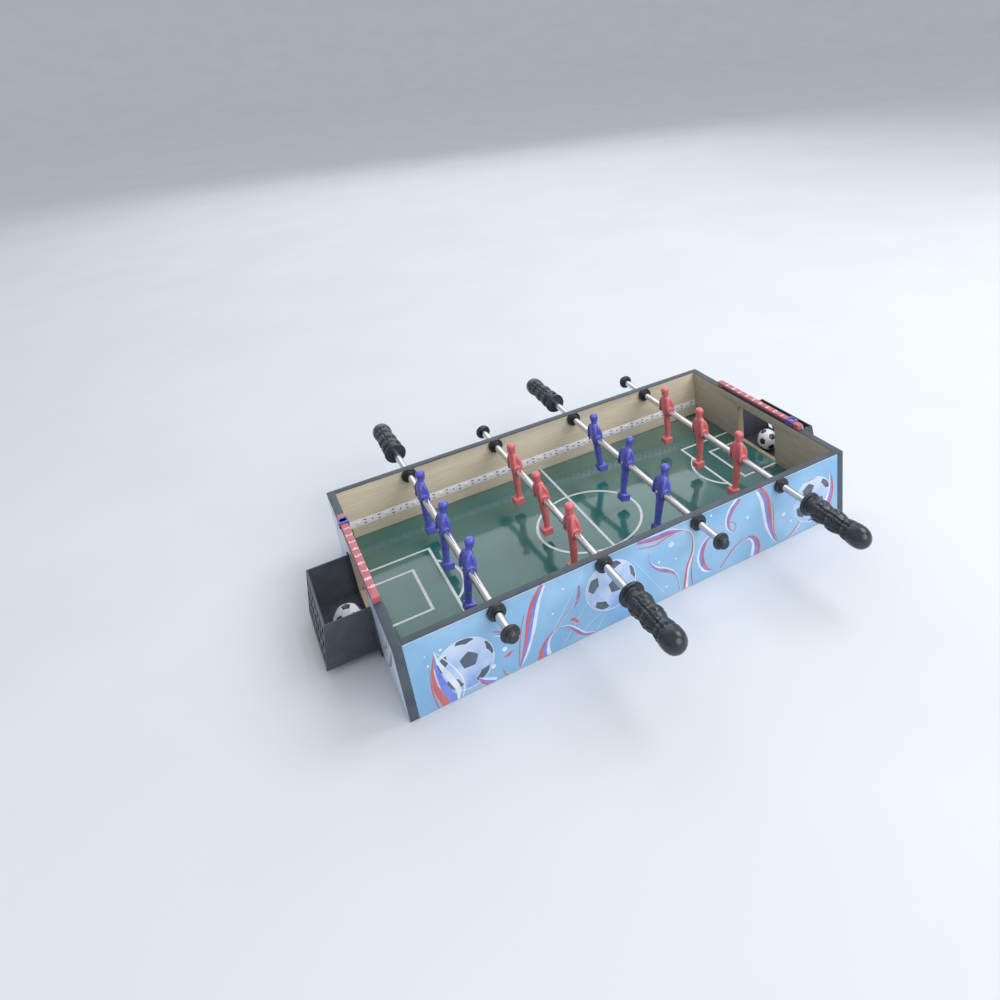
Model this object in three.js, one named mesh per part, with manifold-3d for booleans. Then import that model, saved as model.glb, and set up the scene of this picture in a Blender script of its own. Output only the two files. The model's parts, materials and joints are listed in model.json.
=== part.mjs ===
// Tabletop foosball, four rods, in millimetres.
// +X runs along the pitch to the right goal, -Y is the front, +Z is up.
// The origin is the middle of the outline at the level the table stands on.
import * as THREE from "three";
import Module from "manifold-3d";

const wasm = await Module();
wasm.setup();

// ---------------------------------------------------------------- cabinet
const LENGTH = 510;
const WIDTH = 300;
const HEIGHT = 82;
const BOARD = 8.5;
const EDGE_BAND = 0.8;
const HALF_LENGTH = LENGTH / 2;
const HALF_WIDTH = WIDTH / 2;
const INNER_X = HALF_LENGTH - BOARD;
const INNER_Y = HALF_WIDTH - BOARD;
const PANEL_TOP = HEIGHT - EDGE_BAND;

// ---------------------------------------------------------------- pitch
const FIELD_TOP = 17;
const FIELD_THICK = 3.2;
const FIELD_BOTTOM = FIELD_TOP - FIELD_THICK;
const GROOVE = 3;

// ---------------------------------------------------------------- goals
const MOUTH_HALF = 38;
const MOUTH_TOP = 69.5;
const MOUTH_RADIUS = 8;
const GOAL_DEPTH = 43;
// How much further out the end wall stands at its foot than at its top.
const GOAL_LEAN = 8;
const GOAL_HALF = 50.3;
const GOAL_BOTTOM = 7.8;
const GOAL_TOP = 57.5;
const GOAL_WALL = 1.5;
const GOAL_FLANGE = 2;
const FLANGE_HALF = 55.5;
const FLANGE_BOTTOM = 1.5;
const NET_PITCH = 14;
const NET_HOLE = 9.8;
const NET_COLUMNS = 7;
const NET_ROWS = 3;
const NET_FIRST_ROW = 18.5;

// ---------------------------------------------------------------- rods
const ROD_X = [-163.5, -54.5, 54.5, 163.5];
const ROD_HEIGHT = 74.5;
const ROD_RADIUS = 4;
const ROD_BORE = 3.2;
// +1 puts the handle at the rear, -1 at the front.
const HANDLE_SIDE = [1, -1, 1, -1];
// How far each rod has been slid along +Y.
const ROD_SHIFT = [4.5, -4.5, -1.5, 3.5];
// How far each rod has been turned, heads towards +X, in degrees.
const ROD_LEAN = [10, -2.4, 12, 2];
// How far each man on a rod leans, heads towards +X, from the cap's end to the handle.
const MAN_LEANS = [
  [11.2, 7.8, 2.5],
  [0.1, -3.7, 2.4],
  [14.4, 14.1, -0.7],
  [1.1, 3.8, 7.7],
];
const ROD_CAP_END = -189;
const ROD_HANDLE_END = 262;

// ---------------------------------------------------------------- bushings
const FLANGE_RADIUS = 8.8;
const FLANGE_THICK = 4;
const LIP_RADIUS = 7;
const LIP_THICK = 1.2;
const HUB_RADIUS = 5.8;
const HUB_LENGTH = 3;
const BARREL_RADIUS = 6.2;
const BARREL_HOLE = 6.6;
const BUSHING_BORE = 4.5;

// ---------------------------------------------------------------- men
const MAN_SPACING = 78;
const MEN_PER_ROD = 3;
const HEAD_TOP = 32.8;
const FOOT_BOTTOM = -48;
const FOOT_TOP = -40;
const FOOT_BACK = -2.6;
const FOOT_FRONT = 8.8;
const FOOT_HALF = 6;
const COLLAR_RADIUS = 6.4;
const COLLAR_HALF = 11;
const MAN_BORE = 4.35;
const MAN_SIDES = 9;

// ---------------------------------------------------------------- grips
const HANDLE_START = 199;
const HANDLE_LENGTH = 85;
const HANDLE_SOCKET = 64;
const HANDLE_BORE = 4.35;
const CAP_INNER = -187;
const CAP_LENGTH = 12;

// ---------------------------------------------------------------- scorers
const SCORE_X = 251.1;
const SCORE_HALF_WIDTH = 3.8;
const SCORE_HALF = 82.5;
const SCORE_BLOCK = 10;
const SCORE_TOP = 88.5;
const SCORE_RAIL_BOTTOM = 84.8;
const RIDER_LENGTH = 11.5;
const RIDER_END_GAP = 0.5;
const RIDER_HALF_WIDTH = 5.2;
const RIDER_BOTTOM = 83;
const RIDER_TOP = 90.2;
const RIDER_CLEARANCE = 0.3;
const RIDER_RAIL_GAP = 0.4;
const WINDOW_HALF_WIDTH = 3.5;
const WINDOW_HALF_LENGTH = 3.4;

// ---------------------------------------------------------------- balls
const BALL_RADIUS = 14;
const LEFT_BALL = [-274.3, -5.4];
const RIGHT_BALL = [270.6, 6.5];

// ---------------------------------------------------------------- lights
const STRIP_HALF = 246;
const STRIP_THICK = 0.6;
const STRIP_BOTTOM = 30.5;
const STRIP_TOP = 39.5;
const LED_COUNT = 15;
const LED_PITCH = 33;
const LED_SIZE = 3.5;
const LED_HEIGHT = 0.9;
const WIRE_RADIUS = 0.9;
const WIRE_X = -240;
const WIRE_SLOT = 1.5;
const WIRE_SLOT_BACK = 144.3;
const WIRE_SLOT_TOP = 36.5;

// ---------------------------------------------------------------- battery box
const BOX_LEFT = -226;
const BOX_SPLIT = -172;
const BOX_RIGHT = -158;
const BOX_FRONT = 98.3;
const BOX_REAR = 135.7;
const BOX_BOTTOM = 0.6;
const BOX_TOP_WALL = 1;
const BOX_WALL = 1.5;
const DOOR_BOTTOM = 1.4;
const DOOR_TOP = 2.4;
const DOOR_GAP = 0.3;
const CELL_RADIUS = 5;
const CELL_LENGTH = 43.5;
const CELL_NUB = 1;
const CELL_PITCH = 10.8;
const CELL_Z = 7.6;
const CELL_NUB_RADIUS = 1.9;
const CELL_INSET = 3.2;
const CELL_COUNT = 3;
const BAY_SIDE_WALL = 2.2;
const TONGUE_GROOVE = 1;
const DOOR_TONGUE = 0.7;
const GRIP_LINE_COUNT = 4;
const GRIP_LINE_PITCH = 2.4;
const GRIP_LINE_WIDTH = 1.2;
const GRIP_LINE_DEPTH = 0.4;
const GRIP_LINE_HALF = 9;
const GRIP_LINE_INSET = 6;

// ---------------------------------------------------------------- switch and lead
const ROOM_FLOOR = 1.8;
const SWITCH_X = -165;
const SWITCH_Y = 112;
const SLOT_HALF_WIDTH = 2.3;
const SLOT_HALF_LENGTH = 5;
const KNOB_HALF = 2;
const KNOB_INSET = 0.4;
const KNOB_BOTTOM = 0.2;
const RUNNER_HALF_WIDTH = 4.4;
const RUNNER_FRONT = 8;
const RUNNER_REAR = 3;
const RUNNER_BOTTOM = 2.1;
const RUNNER_TOP = 3.6;
const WIRE_Z = 9;
const WIRE_HOLE_GAP = 0.4;
const WIRE_RUN_Y = 139.4;
const WIRE_SLOT_DEPTH = 1.4;
const WIRE_RISE_START = 13;
const WIRE_TOP = 34.6;
const WIRE_BEND = 1.6;
const WIRE_SIDES = 6;
const WIRE_STEPS = 48;

const radians = (degrees) => (degrees * Math.PI) / 180;
const inOrder = (a, b) => [Math.min(a, b), Math.max(a, b)];

// A margin that carries a cutter past the face it goes through.
const PAST = 1;

// How many sides the round pieces have.
const SEGMENTS = 12;
const GRIP_SIDES = 14;
const HOLE_SIDES = 16;
const ARC_STEPS = 4;
const BALL_DETAIL = 2;

// ---------------------------------------------------------------- solid helpers

// A closed three.js geometry as a solid that can be joined and cut.
function solid(geometry) {
  const bare = geometry.index ? geometry.toNonIndexed() : geometry.clone();
  bare.deleteAttribute("normal");
  if (bare.attributes.uv) bare.deleteAttribute("uv");
  const welded = weld(bare);
  return new wasm.Manifold(
    new wasm.Mesh({
      numProp: 3,
      vertProperties: new Float32Array(welded.points),
      triVerts: new Uint32Array(welded.faces),
    }),
  );
}

// Merges equal corners and drops triangles that have collapsed.
function weld(geometry) {
  const position = geometry.attributes.position;
  const known = new Map();
  const points = [];
  const ids = [];
  for (let i = 0; i < position.count; i += 1) {
    const x = position.getX(i);
    const y = position.getY(i);
    const z = position.getZ(i);
    const key = [x, y, z].map((value) => Math.round(value * 1e4)).join(",");
    if (!known.has(key)) {
      known.set(key, points.length / 3);
      points.push(x, y, z);
    }
    ids.push(known.get(key));
  }
  const faces = [];
  for (let i = 0; i < ids.length; i += 3) {
    const [a, b, c] = ids.slice(i, i + 3);
    if (a !== b && b !== c && c !== a) faces.push(a, b, c);
  }
  return { points, faces };
}

// A solid back as a three.js geometry.
function geometryOf(body) {
  const mesh = body.getMesh();
  const geometry = new THREE.BufferGeometry();
  geometry.setAttribute("position", new THREE.BufferAttribute(new Float32Array(mesh.vertProperties), 3));
  geometry.setIndex(new THREE.BufferAttribute(new Uint32Array(mesh.triVerts), 1));
  geometry.computeVertexNormals();
  return geometry;
}

// A block given by its low and high corners.
function block(low, high) {
  const size = high.map((value, axis) => value - low[axis]);
  const geometry = new THREE.BoxGeometry(...size);
  geometry.translate(...low.map((value, axis) => value + size[axis] / 2));
  return solid(geometry);
}

// A cylinder lying along Y from one end to the other.
function rodAlongY(radius, start, end, sides = SEGMENTS) {
  const geometry = new THREE.CylinderGeometry(radius, radius, end - start, sides);
  geometry.translate(0, (start + end) / 2, 0);
  return solid(geometry);
}

// A profile of [radius, y] corners turned about the Y axis.
function turned(profile, sides = SEGMENTS) {
  const corners = profile.map(([radius, y]) => new THREE.Vector2(radius, y));
  return new THREE.LatheGeometry(corners, sides);
}

// Closes a profile that has a bore, so that it starts and ends on one corner.
const closed = (profile) => [...profile, profile[0]];

// ---------------------------------------------------------------- group
const table = new THREE.Group();
table.name = "tabletop_foosball";

function add(name, geometry, color, roughness = 0.5, metalness = 0) {
  const material = new THREE.MeshStandardMaterial({ color, roughness, metalness });
  material.name = name;
  const mesh = new THREE.Mesh(geometry, material);
  mesh.name = name;
  table.add(mesh);
}

const COLORS = {
  board: 0x9fc6e4,
  band: 0x3c444c,
  field: 0x4f7f6e,
  steel: 0xd8d6d2,
  black: 0x26282c,
  blue: 0x3c37a0,
  red: 0xd9605a,
  white: 0xf2f2f2,
};

// ---------------------------------------------------------------- panels

// The hole through a long panel that a bushing barrel sits in.
function bushingHole(x, side) {
  const hole = rodAlongY(BARREL_HOLE, -BOARD, BOARD, HOLE_SIDES);
  return hole.translate([x, side * (HALF_WIDTH - BOARD / 2), ROD_HEIGHT]);
}

function longPanel(side) {
  const [near, far] = inOrder(side * INNER_Y, side * HALF_WIDTH);
  const [cutNear, cutFar] = inOrder(side * (INNER_Y - PAST), side * (INNER_Y + GROOVE));
  const groove = block([-INNER_X - PAST, cutNear, FIELD_BOTTOM], [INNER_X + PAST, cutFar, FIELD_TOP]);
  let panel = block([-INNER_X, near, 0], [INNER_X, far, PANEL_TOP]).subtract(groove);
  for (const x of ROD_X) panel = panel.subtract(bushingHole(x, side));
  return panel;
}

const wireSlot = block(
  [WIRE_X - WIRE_SLOT, INNER_Y - PAST, -PAST],
  [WIRE_X + WIRE_SLOT, WIRE_SLOT_BACK, WIRE_SLOT_TOP],
);
add("front_panel", geometryOf(longPanel(-1)), COLORS.board);
add("rear_panel", geometryOf(longPanel(1).subtract(wireSlot)), COLORS.board);

// The goal mouth, square at the sill and rounded at its upper corners.
function mouthCutter(side) {
  const shape = new THREE.Shape();
  shape.moveTo(-MOUTH_HALF, FIELD_TOP);
  shape.lineTo(MOUTH_HALF, FIELD_TOP);
  shape.lineTo(MOUTH_HALF, MOUTH_TOP - MOUTH_RADIUS);
  shape.absarc(MOUTH_HALF - MOUTH_RADIUS, MOUTH_TOP - MOUTH_RADIUS, MOUTH_RADIUS, 0, Math.PI / 2);
  shape.absarc(MOUTH_RADIUS - MOUTH_HALF, MOUTH_TOP - MOUTH_RADIUS, MOUTH_RADIUS, Math.PI / 2, Math.PI);
  const depth = 4 * BOARD;
  const cutter = new THREE.ExtrudeGeometry(shape, { depth, bevelEnabled: false, curveSegments: ARC_STEPS });
  cutter.rotateX(Math.PI / 2);
  cutter.rotateZ(Math.PI / 2);
  cutter.translate(side * HALF_LENGTH - depth / 2, 0, 0);
  return solid(cutter);
}

function endPanel(side) {
  const [near, far] = inOrder(side * INNER_X, side * HALF_LENGTH);
  const [cutNear, cutFar] = inOrder(side * (INNER_X - PAST), side * (INNER_X + GROOVE));
  const reach = INNER_Y + GROOVE;
  const groove = block([cutNear, -reach, FIELD_BOTTOM], [cutFar, reach, FIELD_TOP]);
  const panel = block([near, -HALF_WIDTH, 0], [far, HALF_WIDTH, PANEL_TOP]);
  return panel.subtract(groove).subtract(mouthCutter(side));
}

add("left_end_panel", geometryOf(endPanel(-1)), COLORS.board);
add("right_end_panel", geometryOf(endPanel(1)), COLORS.board);

// ---------------------------------------------------------------- pitch board
const playfield = block(
  [-INNER_X - GROOVE, -INNER_Y - GROOVE, FIELD_BOTTOM],
  [INNER_X + GROOVE, INNER_Y + GROOVE, FIELD_TOP],
);
const NOTCH_MARGIN = 0.5;
const wireNotch = block(
  [WIRE_X - WIRE_SLOT - NOTCH_MARGIN, INNER_Y - NOTCH_MARGIN, FIELD_BOTTOM - PAST],
  [WIRE_X + WIRE_SLOT + NOTCH_MARGIN, INNER_Y + GROOVE + PAST, FIELD_TOP + PAST],
);
add("playfield", geometryOf(playfield.subtract(wireNotch)), COLORS.field, 0.3);

// ---------------------------------------------------------------- edge bands
function band(name, x, y) {
  add(name, geometryOf(block([x[0], y[0], PANEL_TOP], [x[1], y[1], HEIGHT])), COLORS.band);
}

band("front_edge_band", [-INNER_X, INNER_X], [-HALF_WIDTH, -INNER_Y]);
band("rear_edge_band", [-INNER_X, INNER_X], [INNER_Y, HALF_WIDTH]);
band("left_edge_band", [-HALF_LENGTH, -INNER_X], [-HALF_WIDTH, HALF_WIDTH]);
band("right_edge_band", [INNER_X, HALF_LENGTH], [-HALF_WIDTH, HALF_WIDTH]);

// ---------------------------------------------------------------- bushings

// Turned about Y, with the panel between y = 0 and y = BOARD and the flange on its -Y face.
const bushingProfile = closed([
  [BUSHING_BORE, -FLANGE_THICK - HUB_LENGTH],
  [HUB_RADIUS, -FLANGE_THICK - HUB_LENGTH],
  [HUB_RADIUS, -FLANGE_THICK],
  [FLANGE_RADIUS, -FLANGE_THICK],
  [FLANGE_RADIUS, 0],
  [BARREL_RADIUS, 0],
  [BARREL_RADIUS, BOARD],
  [LIP_RADIUS, BOARD],
  [LIP_RADIUS, BOARD + LIP_THICK],
  [BUSHING_BORE, BOARD + LIP_THICK],
]);

ROD_X.forEach((x, index) => {
  for (const [place, y] of [["front", -HALF_WIDTH], ["rear", INNER_Y]]) {
    const geometry = geometryOf(solid(turned(bushingProfile)));
    geometry.translate(x, y, ROD_HEIGHT);
    add(`${place}_bushing_${index + 1}`, geometry, COLORS.black, 0.4);
  }
});

// ---------------------------------------------------------------- men

// Each ring of the body: height above the rod, half depth, half width, forward offset.
const BODY_RINGS = [
  [HEAD_TOP, 3.9, 3.9, 1.2],
  [HEAD_TOP - 1.2, 5.1, 5.1, 1.2],
  [27, 5.4, 5.4, 1.2],
  [22, 4.1, 4.1, 0.8],
  [19, 4.2, 5.6, 0.4],
  [15, 5.4, 10.4, 0],
  [7, 5.8, 10.9, 0],
  [-2, 6, 9.6, 0],
  [-9, 5, 6, 0.4],
  [-20, 4.3, 4.5, 0.8],
  [FOOT_TOP - 1, 3.4, 3.6, 1.5],
];

// A tube of rounded rings closed at both ends.
function loft(rings, sides) {
  const points = [];
  for (const [z, depth, width, forward] of rings) {
    for (let i = 0; i < sides; i += 1) {
      const angle = (2 * Math.PI * i) / sides;
      points.push(forward + depth * Math.cos(angle), width * Math.sin(angle), z);
    }
  }
  const faces = [];
  for (let ring = 0; ring + 1 < rings.length; ring += 1) {
    for (let i = 0; i < sides; i += 1) {
      const a = ring * sides + i;
      const b = ring * sides + ((i + 1) % sides);
      faces.push(a, a + sides, b, b, a + sides, b + sides);
    }
  }
  const last = (rings.length - 1) * sides;
  for (let i = 1; i + 1 < sides; i += 1) {
    faces.push(0, i, i + 1);
    faces.push(last, last + i + 1, last + i);
  }
  const geometry = new THREE.BufferGeometry();
  geometry.setAttribute("position", new THREE.BufferAttribute(new Float32Array(points), 3));
  geometry.setIndex(faces);
  return geometry;
}

// One man facing +X, standing on the rod axis at the origin.
function man() {
  let body = solid(loft(BODY_RINGS, MAN_SIDES));
  body = body.add(block([FOOT_BACK, -FOOT_HALF, FOOT_BOTTOM], [FOOT_FRONT, FOOT_HALF, FOOT_TOP]));
  body = body.add(rodAlongY(COLLAR_RADIUS, -COLLAR_HALF, COLLAR_HALF));
  return body.subtract(rodAlongY(MAN_BORE, -2 * COLLAR_HALF, 2 * COLLAR_HALF));
}

const manSolid = man();

// ---------------------------------------------------------------- grips and caps

// Distance from the start of the grip along the rod, and radius.
const GRIP_OUTLINE = [
  [0, 12.6],
  [1.2, 13.9],
  [3.6, 13.9],
  [4.8, 9.4],
  [12.5, 9.4],
  [14, 12],
  [20, 12.6],
  [32, 11.2],
  [41, 11.9],
  [52, 10.4],
  [66, 12.1],
  [76, 11.6],
  [82, 8],
  [HANDLE_LENGTH, 2.6],
];

const gripProfile = [
  [0, HANDLE_SOCKET],
  [HANDLE_BORE, HANDLE_SOCKET],
  [HANDLE_BORE, 0],
  ...GRIP_OUTLINE.map(([distance, radius]) => [radius, distance]),
  [0, HANDLE_LENGTH],
];

// The cap runs from its rod end at zero to its domed end.
const CAP_BORE_DEPTH = 3.5;
const capProfile = [
  [0, CAP_BORE_DEPTH],
  [HANDLE_BORE, CAP_BORE_DEPTH],
  [HANDLE_BORE, 0],
  [7.4, 0],
  [9, 2],
  [9, 5],
  [5.2, 6],
  [5.2, 7.2],
  [6.4, 8.2],
  [5.6, 11],
  [0, CAP_LENGTH],
];

const rodProfile = closed([
  [ROD_BORE, ROD_CAP_END],
  [ROD_RADIUS, ROD_CAP_END],
  [ROD_RADIUS, ROD_HANDLE_END],
  [ROD_BORE, ROD_HANDLE_END],
]);

// ---------------------------------------------------------------- rod assemblies
ROD_X.forEach((x, index) => {
  const number = index + 1;
  const side = HANDLE_SIDE[index];
  // Everything on the rod is made with its handle towards +Y and then turned round if needed.
  const place = (geometry, lean = ROD_LEAN[index]) => {
    if (side < 0) geometry.rotateZ(Math.PI);
    geometry.rotateY(radians(lean));
    geometry.translate(x, ROD_SHIFT[index], ROD_HEIGHT);
    return geometry;
  };
  const team = index % 2 === 0 ? "blue" : "red";
  add(`rod_${number}`, place(geometryOf(solid(turned(rodProfile)))), COLORS.steel, 0.25, 1);
  for (let i = 0; i < MEN_PER_ROD; i += 1) {
    const geometry = geometryOf(manSolid);
    geometry.translate(0, (i - (MEN_PER_ROD - 1) / 2) * MAN_SPACING, 0);
    add(`${team}_man_${number}${"abc"[i]}`, place(geometry, MAN_LEANS[index][i]), COLORS[team], 0.3);
  }
  const grip = geometryOf(solid(turned(gripProfile, GRIP_SIDES)));
  grip.translate(0, HANDLE_START, 0);
  add(`handle_${number}`, place(grip), COLORS.black, 0.6);
  const cap = geometryOf(solid(turned(capProfile)));
  cap.rotateZ(Math.PI);
  cap.translate(0, CAP_INNER, 0);
  add(`end_cap_${number}`, place(cap), COLORS.black, 0.6);
});

// ---------------------------------------------------------------- scorers
function scoreBar(x) {
  const left = x - SCORE_HALF_WIDTH;
  const right = x + SCORE_HALF_WIDTH;
  let bar = block([left, -SCORE_HALF, SCORE_RAIL_BOTTOM], [right, SCORE_HALF, SCORE_TOP]);
  for (const end of [-1, 1]) {
    const [near, far] = inOrder(end * SCORE_HALF, end * (SCORE_HALF - SCORE_BLOCK));
    bar = bar.add(block([left, near, HEIGHT], [right, far, SCORE_TOP]));
  }
  return bar;
}

// The rider is a ring round the rail with a window in its top.
function scoreRider(x, y) {
  const front = y - RIDER_LENGTH / 2;
  const rear = y + RIDER_LENGTH / 2;
  const bore = SCORE_HALF_WIDTH + RIDER_CLEARANCE;
  const ring = block([x - RIDER_HALF_WIDTH, front, RIDER_BOTTOM], [x + RIDER_HALF_WIDTH, rear, RIDER_TOP]);
  const rail = block(
    [x - bore, front - PAST, SCORE_RAIL_BOTTOM - RIDER_RAIL_GAP],
    [x + bore, rear + PAST, SCORE_TOP + RIDER_RAIL_GAP],
  );
  const window = block(
    [x - WINDOW_HALF_WIDTH, y - WINDOW_HALF_LENGTH, SCORE_TOP],
    [x + WINDOW_HALF_WIDTH, y + WINDOW_HALF_LENGTH, RIDER_TOP + PAST],
  );
  return ring.subtract(rail).subtract(window);
}

const RIDER_Y = SCORE_HALF - SCORE_BLOCK - RIDER_END_GAP - RIDER_LENGTH / 2;
for (const side of [-1, 1]) {
  const name = side < 0 ? "left" : "right";
  const x = side * SCORE_X;
  add(`${name}_score_bar`, geometryOf(scoreBar(x)), COLORS.red, 0.4);
  add(`${name}_score_slider`, geometryOf(scoreRider(x, -side * RIDER_Y)), COLORS.blue, 0.4);
}

// ---------------------------------------------------------------- goal boxes
function goalBox(side) {
  // A slab given by its distances out from the cabinet's end.
  const slab = (from, to, y, z) => {
    const [near, far] = inOrder(side * (HALF_LENGTH + from), side * (HALF_LENGTH + to));
    return block([near, y[0], z[0]], [far, y[1], z[1]]);
  };
  const wallY = GOAL_HALF - GOAL_WALL;
  const outAt = (z) => GOAL_DEPTH + (GOAL_LEAN * (GOAL_TOP - z)) / (GOAL_TOP - GOAL_BOTTOM);
  // A block that reaches out to the leaning end wall, or stays inside it by a margin.
  const leaning = (from, inside, halfY, heights) => {
    const corners = [];
    for (const z of heights) {
      for (const y of [-halfY, halfY]) {
        for (const out of [from, outAt(z) - inside]) corners.push([side * (HALF_LENGTH + out), y, z]);
      }
    }
    return wasm.Manifold.hull(corners);
  };
  let box = leaning(0, 0, GOAL_HALF, [GOAL_BOTTOM, GOAL_TOP]);
  box = box.add(slab(0, GOAL_FLANGE, [-FLANGE_HALF, FLANGE_HALF], [FLANGE_BOTTOM, GOAL_TOP]));
  box = box.subtract(leaning(-PAST, GOAL_WALL, wallY, [GOAL_BOTTOM + GOAL_WALL, GOAL_TOP + PAST]));
  const half = NET_HOLE / 2;
  const netFrom = GOAL_DEPTH - 2 * GOAL_WALL;
  const netTo = GOAL_DEPTH + GOAL_LEAN + PAST;
  for (let column = 0; column < NET_COLUMNS; column += 1) {
    const y = (column - (NET_COLUMNS - 1) / 2) * NET_PITCH;
    for (let row = 0; row < NET_ROWS; row += 1) {
      const z = NET_FIRST_ROW + row * NET_PITCH;
      box = box.subtract(slab(netFrom, netTo, [y - half, y + half], [z - half, z + half]));
    }
  }
  return box;
}

add("left_goal_box", geometryOf(goalBox(-1)), COLORS.black, 0.5);
add("right_goal_box", geometryOf(goalBox(1)), COLORS.black, 0.5);

// ---------------------------------------------------------------- balls
function ball(name, [x, y]) {
  const geometry = geometryOf(solid(new THREE.IcosahedronGeometry(BALL_RADIUS, BALL_DETAIL)));
  geometry.translate(x, y, GOAL_BOTTOM + GOAL_WALL + BALL_RADIUS);
  add(name, geometry, COLORS.white, 0.3);
}

ball("left_ball", LEFT_BALL);
ball("right_ball", RIGHT_BALL);

// ---------------------------------------------------------------- light strip
const STRIP_FRONT = INNER_Y - STRIP_THICK;
const STRIP_MIDDLE = (STRIP_BOTTOM + STRIP_TOP) / 2;
let strip = block([-STRIP_HALF, STRIP_FRONT, STRIP_BOTTOM], [STRIP_HALF, INNER_Y, STRIP_TOP]);
for (let i = 0; i < LED_COUNT; i += 1) {
  const x = (i - (LED_COUNT - 1) / 2) * LED_PITCH;
  const half = LED_SIZE / 2;
  const low = [x - half, STRIP_FRONT - LED_HEIGHT, STRIP_MIDDLE - half];
  const high = [x + half, STRIP_FRONT, STRIP_MIDDLE + half];
  strip = strip.add(block(low, high));
}
add("led_strip", geometryOf(strip), COLORS.white, 0.6);

// ---------------------------------------------------------------- battery box body
const bayFront = BOX_FRONT + BAY_SIDE_WALL;
const bayRear = BOX_REAR - BAY_SIDE_WALL;
const ceiling = FIELD_BOTTOM - BOX_TOP_WALL;
const tongueLow = DOOR_BOTTOM - DOOR_GAP;
const tongueHigh = DOOR_TOP + DOOR_GAP;
const below = BOX_BOTTOM - PAST;

function batteryBox() {
  const bay = block([BOX_LEFT + BOX_WALL, bayFront, below], [BOX_SPLIT, bayRear, ceiling]);
  const tongues = block(
    [BOX_LEFT - PAST, bayFront - TONGUE_GROOVE, tongueLow],
    [BOX_SPLIT, bayRear + TONGUE_GROOVE, tongueHigh],
  );
  const doorway = block([BOX_LEFT - PAST, bayFront, below], [BOX_LEFT + 2 * BOX_WALL, bayRear, tongueHigh]);
  const room = block([BOX_SPLIT + BOX_WALL, bayFront, ROOM_FLOOR], [BOX_RIGHT - BOX_WALL, bayRear, ceiling]);
  const slot = block(
    [SWITCH_X - SLOT_HALF_WIDTH, SWITCH_Y - SLOT_HALF_LENGTH, below],
    [SWITCH_X + SLOT_HALF_WIDTH, SWITCH_Y + SLOT_HALF_LENGTH, ROOM_FLOOR + PAST],
  );
  const leadHole = rodAlongY(WIRE_RADIUS + WIRE_HOLE_GAP, bayRear - PAST, BOX_REAR + PAST);
  let box = block([BOX_LEFT, BOX_FRONT, BOX_BOTTOM], [BOX_RIGHT, BOX_REAR, FIELD_BOTTOM]);
  for (const cut of [bay, tongues, doorway, room, slot, leadHole.translate([SWITCH_X, 0, WIRE_Z])]) {
    box = box.subtract(cut);
  }
  return box;
}

function batteryDoor() {
  const middle = (BOX_FRONT + BOX_REAR) / 2;
  let door = block(
    [BOX_LEFT, bayFront - DOOR_TONGUE, DOOR_BOTTOM],
    [BOX_SPLIT - DOOR_GAP, bayRear + DOOR_TONGUE, DOOR_TOP],
  );
  for (let i = 0; i < GRIP_LINE_COUNT; i += 1) {
    const x = BOX_LEFT + GRIP_LINE_INSET + i * GRIP_LINE_PITCH;
    door = door.subtract(
      block([x, middle - GRIP_LINE_HALF, DOOR_BOTTOM - PAST],
        [x + GRIP_LINE_WIDTH, middle + GRIP_LINE_HALF, DOOR_BOTTOM + GRIP_LINE_DEPTH]),
    );
  }
  return door;
}

// The knob that shows in the slot, on the runner that keeps it in.
function switchSlider() {
  const front = SWITCH_Y - SLOT_HALF_LENGTH + KNOB_INSET;
  const knob = block(
    [SWITCH_X - KNOB_HALF, front, KNOB_BOTTOM],
    [SWITCH_X + KNOB_HALF, front + 2 * KNOB_HALF, RUNNER_TOP],
  );
  const runner = block(
    [SWITCH_X - RUNNER_HALF_WIDTH, SWITCH_Y - RUNNER_FRONT, RUNNER_BOTTOM],
    [SWITCH_X + RUNNER_HALF_WIDTH, SWITCH_Y + RUNNER_REAR, RUNNER_TOP],
  );
  return knob.add(runner);
}

// A cell lying along X, with its raised contact at the far end.
function cell(reversed) {
  const profile = [
    [0, 0],
    [CELL_RADIUS, 0],
    [CELL_RADIUS, CELL_LENGTH],
    [CELL_NUB_RADIUS, CELL_LENGTH],
    [CELL_NUB_RADIUS, CELL_LENGTH + CELL_NUB],
    [0, CELL_LENGTH + CELL_NUB],
  ];
  const geometry = geometryOf(solid(turned(profile)));
  geometry.rotateZ(reversed ? Math.PI / 2 : -Math.PI / 2);
  geometry.translate(reversed ? BOX_SPLIT - CELL_INSET : BOX_LEFT + BOX_WALL + CELL_INSET, 0, CELL_Z);
  return geometry;
}

add("battery_box", geometryOf(batteryBox()), COLORS.black, 0.5);
add("battery_door", geometryOf(batteryDoor()), COLORS.black, 0.5);
add("switch_slider", geometryOf(switchSlider()), COLORS.white, 0.5);
for (let i = 0; i < CELL_COUNT; i += 1) {
  const geometry = cell(i % 2 === 1);
  geometry.translate(0, (BOX_FRONT + BOX_REAR) / 2 + (i - (CELL_COUNT - 1) / 2) * CELL_PITCH, 0);
  add(`battery_${i + 1}`, geometry, COLORS.steel, 0.4);
}

// ---------------------------------------------------------------- lead to the strip
const WIRE_BACK = INNER_Y + WIRE_SLOT_DEPTH;
const leadCorners = [
  [SWITCH_X, bayRear - BAY_SIDE_WALL, WIRE_Z],
  [SWITCH_X, WIRE_RUN_Y, WIRE_Z],
  [WIRE_X, WIRE_RUN_Y, WIRE_Z],
  [WIRE_X, WIRE_BACK, WIRE_RISE_START],
  [WIRE_X, WIRE_BACK, WIRE_TOP],
];

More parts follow.
